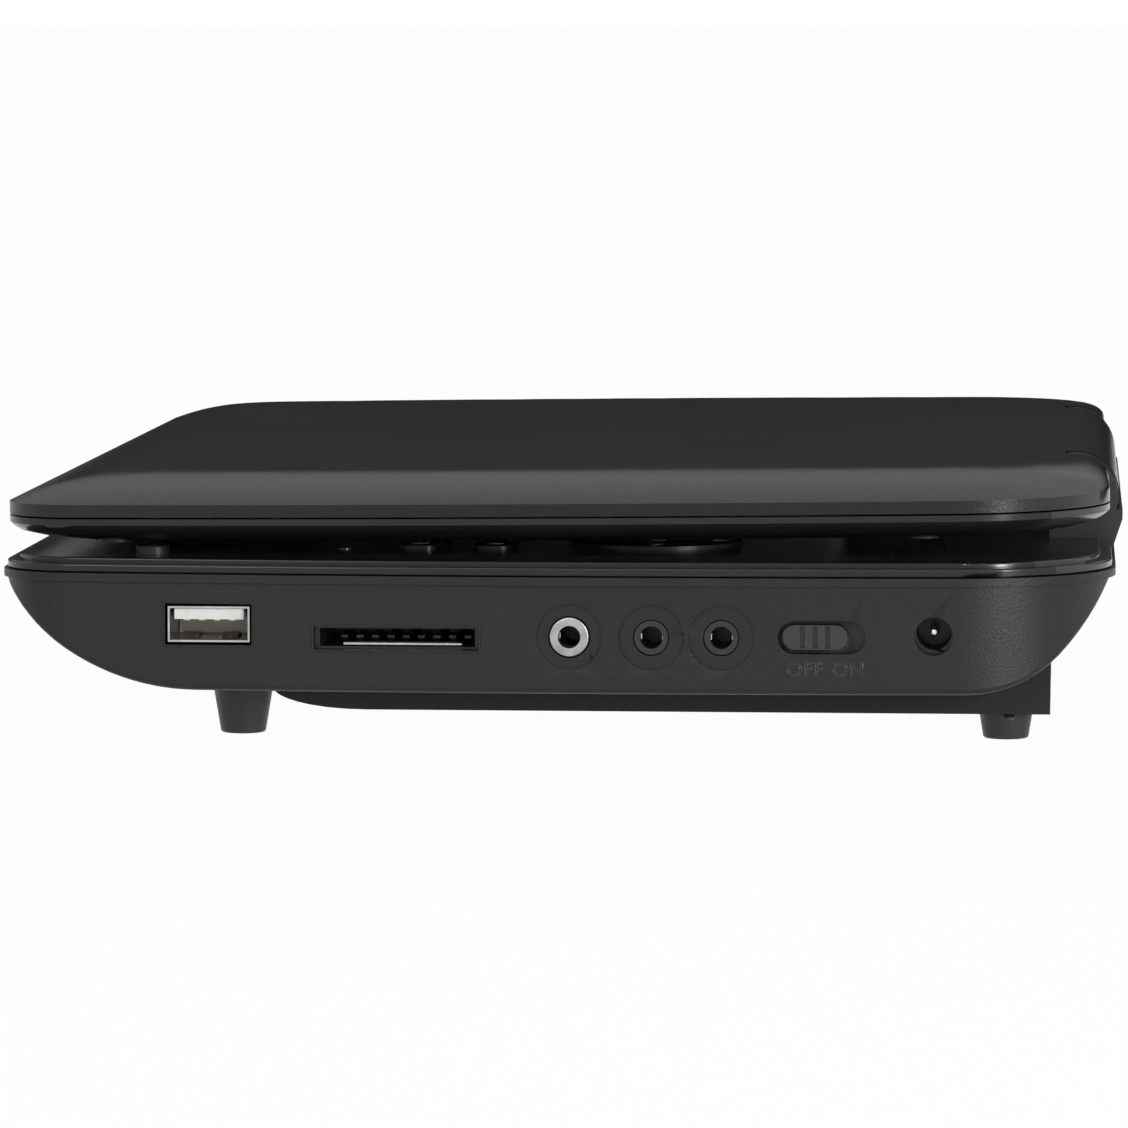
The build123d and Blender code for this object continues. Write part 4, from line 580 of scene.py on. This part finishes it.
# ---------------------------------------------------------------- disc drive
# A stamped steel traverse floats on rubber grommets. It holds the spindle motor, two ground
# rods with the pickup sled, and the lead screw with its small motor.
stamped_steel = Finish("stamped_steel", (0.46, 0.46, 0.45), 0.4, 1.0)
rolled = stamped_steel.noise(260.0, 4.0, 0.65)
stamped_steel.set("Roughness", 0.30 + 0.2 * rolled)
stamped_steel.colours((0.38, 0.38, 0.37), (0.54, 0.54, 0.52), rolled)
stamped_steel.relief(stamped_steel.noise(2200.0, 2.0), 0.00001, 0.6)
moulded_part("traverse_frame", "base", stamped_steel)
moulded_part("grommets", "base", foot_rubber)
ground_steel = Finish("ground_steel", grey(0.68), 0.14, 1.0)
ground_steel.set("Roughness", 0.10 + 0.12 * ground_steel.noise(2000.0, 3.0))
ground_steel.colours(grey(0.60), grey(0.74), ground_steel.noise(300.0, 3.0))
moulded_part("guide_rods", "base", ground_steel)
moulded_part("spindle_motor", "base", stamped_steel)
moulded_part("spindle_shaft", "turntable", ground_steel)
moulded_part("hub_balls", "turntable", ground_steel)
moulded_part("turntable", "turntable", satin_nylon)
sled_grey = Finish("sled_grey", (0.045, 0.045, 0.048), 0.5)
sled_flow = sled_grey.noise(700.0, 3.0, 0.6)
sled_grey.colours((0.030, 0.030, 0.032), (0.070, 0.070, 0.074), sled_flow)
sled_grey.set("Roughness", 0.42 + 0.18 * sled_flow)
moulded_part("pickup_sled", "sled", sled_grey)
coated_glass = Finish("coated_glass", (0.03, 0.02, 0.10), 0.04, gloss=0.8)
coated_glass.colours((0.02, 0.02, 0.09), (0.10, 0.04, 0.16), coated_glass.noise(260.0, 2.0))
coated_glass.set("Roughness", 0.03 + 0.03 * coated_glass.noise(900.0, 2.0))
moulded_part("objective_lens", "sled", coated_glass)
moulded_part("feed_motor", "base", zinc_steel)
lead_y = 0.0235
lead_z = 0.0166
drop_selection()
bpy.ops.mesh.primitive_plane_add(size=1.0)
thread = bpy.context.object
edit_all()
bpy.ops.mesh.delete(type="ONLY_FACE")
leave_edit()
ridge = ((0.0010, -0.0005), (0.00138, -0.0002), (0.0010, 0.0005), (0.00138, 0.0002))
for point, (reach, rise) in zip(thread.data.vertices, ridge):
    point.co = (reach, 0.0, rise)
winding = thread.modifiers.new("winding", "SCREW")
winding.axis = "Z"
winding.screw_offset = 0.002
winding.iterations = 26
winding.steps = 20
winding.render_steps = 20
bpy.ops.object.modifier_apply(modifier="winding")
edit_all()
bpy.ops.mesh.remove_doubles(threshold=0.00001)
bpy.ops.mesh.normals_make_consistent(inside=False)
leave_edit()
thread.rotation_euler = (0.0, math.radians(90.0), 0.0)
thread.location = (-0.0850, lead_y, lead_z)
added_part("lead_thread", "lead_screw", ground_steel)
drop_selection()
bpy.ops.mesh.primitive_cylinder_add(vertices=32, radius=0.00105, depth=0.0620)
edit_all()
bpy.ops.mesh.bevel(offset=0.0002, segments=2)
leave_edit()
bpy.ops.object.shade_smooth_by_angle(angle=math.radians(35.0))
core = bpy.context.object
core.rotation_euler = (0.0, math.radians(90.0), 0.0)
core.location = (-0.0600, lead_y, lead_z)
core = added_part("lead_core", "lead_screw", ground_steel)
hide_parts("lead_screw")

# ---------------------------------------------------------------- deck
# The upper half of the base, moulded in one with the disc well and the hinge lip, and
# polished to a deep gloss. Two rubber bumpers keep the closed lid off it.
piano_black = Finish("piano_black", (0.010, 0.010, 0.011), 0.2, gloss=0.34)
haze = piano_black.noise(30.0, 4.0, 0.6)
piano_black.set("Roughness", 0.15 + 0.10 * haze)
# Painted light: nearer the middle than 112.5 mm the colour is lighter, for the light in the gap
# under the closed lid. The disc door and the lid's bezel share this finish.
gap_painted_light = (abs(piano_black.axis("X")) < 0.1125) * 0.022
piano_black.colours(grey(0.0), grey(1.0), 0.008 + 0.008 * haze + gap_painted_light)
piano_black.relief(piano_black.noise(700.0, 2.0), 0.000003, 0.4)
moulded_part("deck", "base", piano_black)
moulded_part("deck_bumpers", "base", foot_rubber)
lamp_lens = Finish("lamp_lens", (0.30, 0.62, 0.30), 0.18)
lamp_lens.colours((0.03, 0.07, 0.03), (0.06, 0.12, 0.06), lamp_lens.noise(1800.0, 2.0))
moulded_part("status_lamp", "base", lamp_lens)

# ---------------------------------------------------------------- disc door
# A round lid over the disc well, in the same polished black. It swings on two short steel
# pins at the rear, and a catch bar under the deck's front holds it until its button is pressed.
moulded_part("disc_door", "disc_door", piano_black)
moulded_part("door_hinge_pins", "base", ground_steel)
moulded_part("door_catch", "door_catch", satin_nylon)
key_black = Finish("key_black", (0.016, 0.016, 0.017), 0.36, gloss=0.45)
key_touch = key_black.noise(850.0, 4.0, 0.6)
key_black.colours((0.011, 0.011, 0.012), (0.024, 0.024, 0.026), key_touch)
key_black.set("Roughness", 0.30 + 0.2 * key_touch)
key_black.relief(key_black.noise(2200.0, 2.0), 0.00002, 0.6)
moulded_part("open_button", "open_button", key_black)

# ---------------------------------------------------------------- keys
# A ring of four directions round an enter key, and four small keys, over metal domes on
# their own board. Raised, pale marks show what the keys do.
moulded_part("direction_pad", "direction_pad", key_black)
moulded_part("enter_key", "enter_key", key_black)
for key in ("menu_key", "mode_key", "play_key", "stop_key"):
    moulded_part(key, key, key_black)
moulded_part("key_board", "base", green_laminate)
moulded_part("key_domes", "base", nickel)
key_mark = Finish("key_mark", (0.55, 0.55, 0.56), 0.5)
key_mark.colours((0.44, 0.44, 0.45), (0.62, 0.62, 0.63), key_mark.noise(1500.0, 3.0))
mark_thickness = 0.00016
mark_z = 0.02992
marks = [
    ("mark_up", "direction_pad", (0.0820, 0.0240), 3, 0.0016, 90.0),
    ("mark_left", "direction_pad", (0.0720, 0.0140), 3, 0.0016, 180.0),
    ("mark_down", "direction_pad", (0.0820, 0.0040), 3, 0.0016, 270.0),
    ("mark_right", "direction_pad", (0.0920, 0.0140), 3, 0.0016, 0.0),
    ("mark_enter", "enter_key", (0.0820, 0.0140), 24, 0.0014, 0.0),
    ("mark_menu", "menu_key", (0.0730, -0.0120), 4, 0.0017, 45.0),
    ("mark_mode", "mode_key", (0.0910, -0.0120), 24, 0.0015, 0.0),
    ("mark_play", "play_key", (0.0730, -0.0240), 3, 0.0018, 0.0),
    ("mark_stop", "stop_key", (0.0910, -0.0240), 4, 0.0018, 45.0),
    ("mark_open", "open_button", (0.0620, -0.0620), 3, 0.0022, 90.0)]
for name, body, (mark_x, mark_y), corners, reach, turn in marks:
    drop_selection()
    bpy.ops.mesh.primitive_cylinder_add(vertices=corners, radius=reach, depth=mark_thickness)
    mark = bpy.context.object
    edit_all()
    bpy.ops.mesh.bevel(offset=0.00005, segments=2)
    leave_edit()
    # A cylinder's first corner points along +Y, and a turn of -90 points it along +X.
    mark.rotation_euler = (0.0, 0.0, math.radians(turn - 90.0))
    mark.location = (mark_x, mark_y, mark_z)
    added_part(name, body, key_mark)

# ---------------------------------------------------------------- lid hinge
# Steel brackets stand up inside the knuckles of the deck and are screwed to its underside.
# Steel pins join them to the barrel of the lid.
moulded_part("hinge_brackets", "base", stamped_steel)
moulded_part("hinge_bracket_screws", "base", zinc_steel)
moulded_part("hinge_pins", "base", ground_steel)

# ---------------------------------------------------------------- screen side of the lid
# A glossy bezel with the display behind it, a speaker behind the slots at each side, and four
# screws under rubber caps. The backlight and the lid's board lie behind the display.
moulded_part("lid_bezel", "lid", piano_black, angle=35.0)
dark_glass = Finish("dark_glass", (0.006, 0.006, 0.008), 0.06)
lit_area = (abs(dark_glass.axis("X")) < 0.0955) * (abs(dark_glass.axis("Y") + 0.0142) < 0.0525)
dark_glass.colours((0.002, 0.002, 0.0025), (0.016, 0.018, 0.022), lit_area)
dark_glass.set("Roughness", 0.05 + 0.05 * dark_glass.noise(45.0, 4.0) + 0.10 * lit_area)
moulded_part("display_panel", "lid", dark_glass)
moulded_part("backlight", "lid", white_nylon)
moulded_part("lid_board", "lid", green_laminate)
cone_paper = Finish("cone_paper", grey(0.014), 0.8)
cone_fibre = cone_paper.noise(1200.0, 4.0, 0.7)
cone_paper.colours(grey(0.008), (0.030, 0.030, 0.029), cone_fibre)
cone_paper.relief(cone_fibre, 0.00005, 0.9)
moulded_part("speakers", "lid", cone_paper)
moulded_part("lid_screws", "lid", zinc_steel)
moulded_part("screw_caps", "lid", foot_rubber)

# ---------------------------------------------------------------- cover of the lid
# The outer shell, with its crowned band round a flat top and the hinge barrel. It is moulded
# in black, lacquered, and satin on the sloped band where the lacquer lies thin. Its colour is
# lightened across the sloped band, a painted highlight.
lacquer = Finish("lacquer", (0.008, 0.008, 0.009), 0.22, gloss=0.26)
lid_x = lacquer.axis("X")
slope = lacquer.node("ShaderNodeMapRange", {"interpolation_type": "SMOOTHSTEP"}, {
    "Value": abs(lid_x), "From Min": 0.093, "From Max": 0.102, "To Min": 0.0, "To Max": 1.0})
satin_grain = lacquer.noise(1500.0, 3.0, 0.6)
specks = (lacquer.noise(2400.0, 2.0, 0.5) > 0.71) * slope
across_band = lacquer.node("ShaderNodeMapRange", {}, {
    "Value": abs(lid_x), "From Min": 0.090, "From Max": 0.122})
# Painted highlight: the colour is lightened part way across the sloped band, brightest near its
# middle.
band_painted_highlight = lacquer.node("ShaderNodeValToRGB", {"stops": (
    (0.0, grey(0.0)), (1.0, grey(0.0)), (0.20, grey(0.0)), (0.36, grey(0.85)),
    (0.50, grey(1.0)), (0.80, grey(0.45)), (0.93, grey(0.10)))}, {0: across_band})
cloud = 0.0062 + 0.0045 * lacquer.noise(36.0, 4.0, 0.6) + 0.008 * specks
lacquer.colours(grey(0.0), (1.0, 1.0, 1.03), cloud + band_painted_highlight * (0.012 + 0.022 * satin_grain))
flow = lacquer.noise(25.0, 3.0)
lacquer.set("Roughness", 0.15 + 0.05 * flow + slope * (0.02 + 0.22 * satin_grain))
lacquer.relief(satin_grain * slope, 0.00005, 1.0)
moulded_part("lid_cover", "lid", lacquer, angle=35.0)
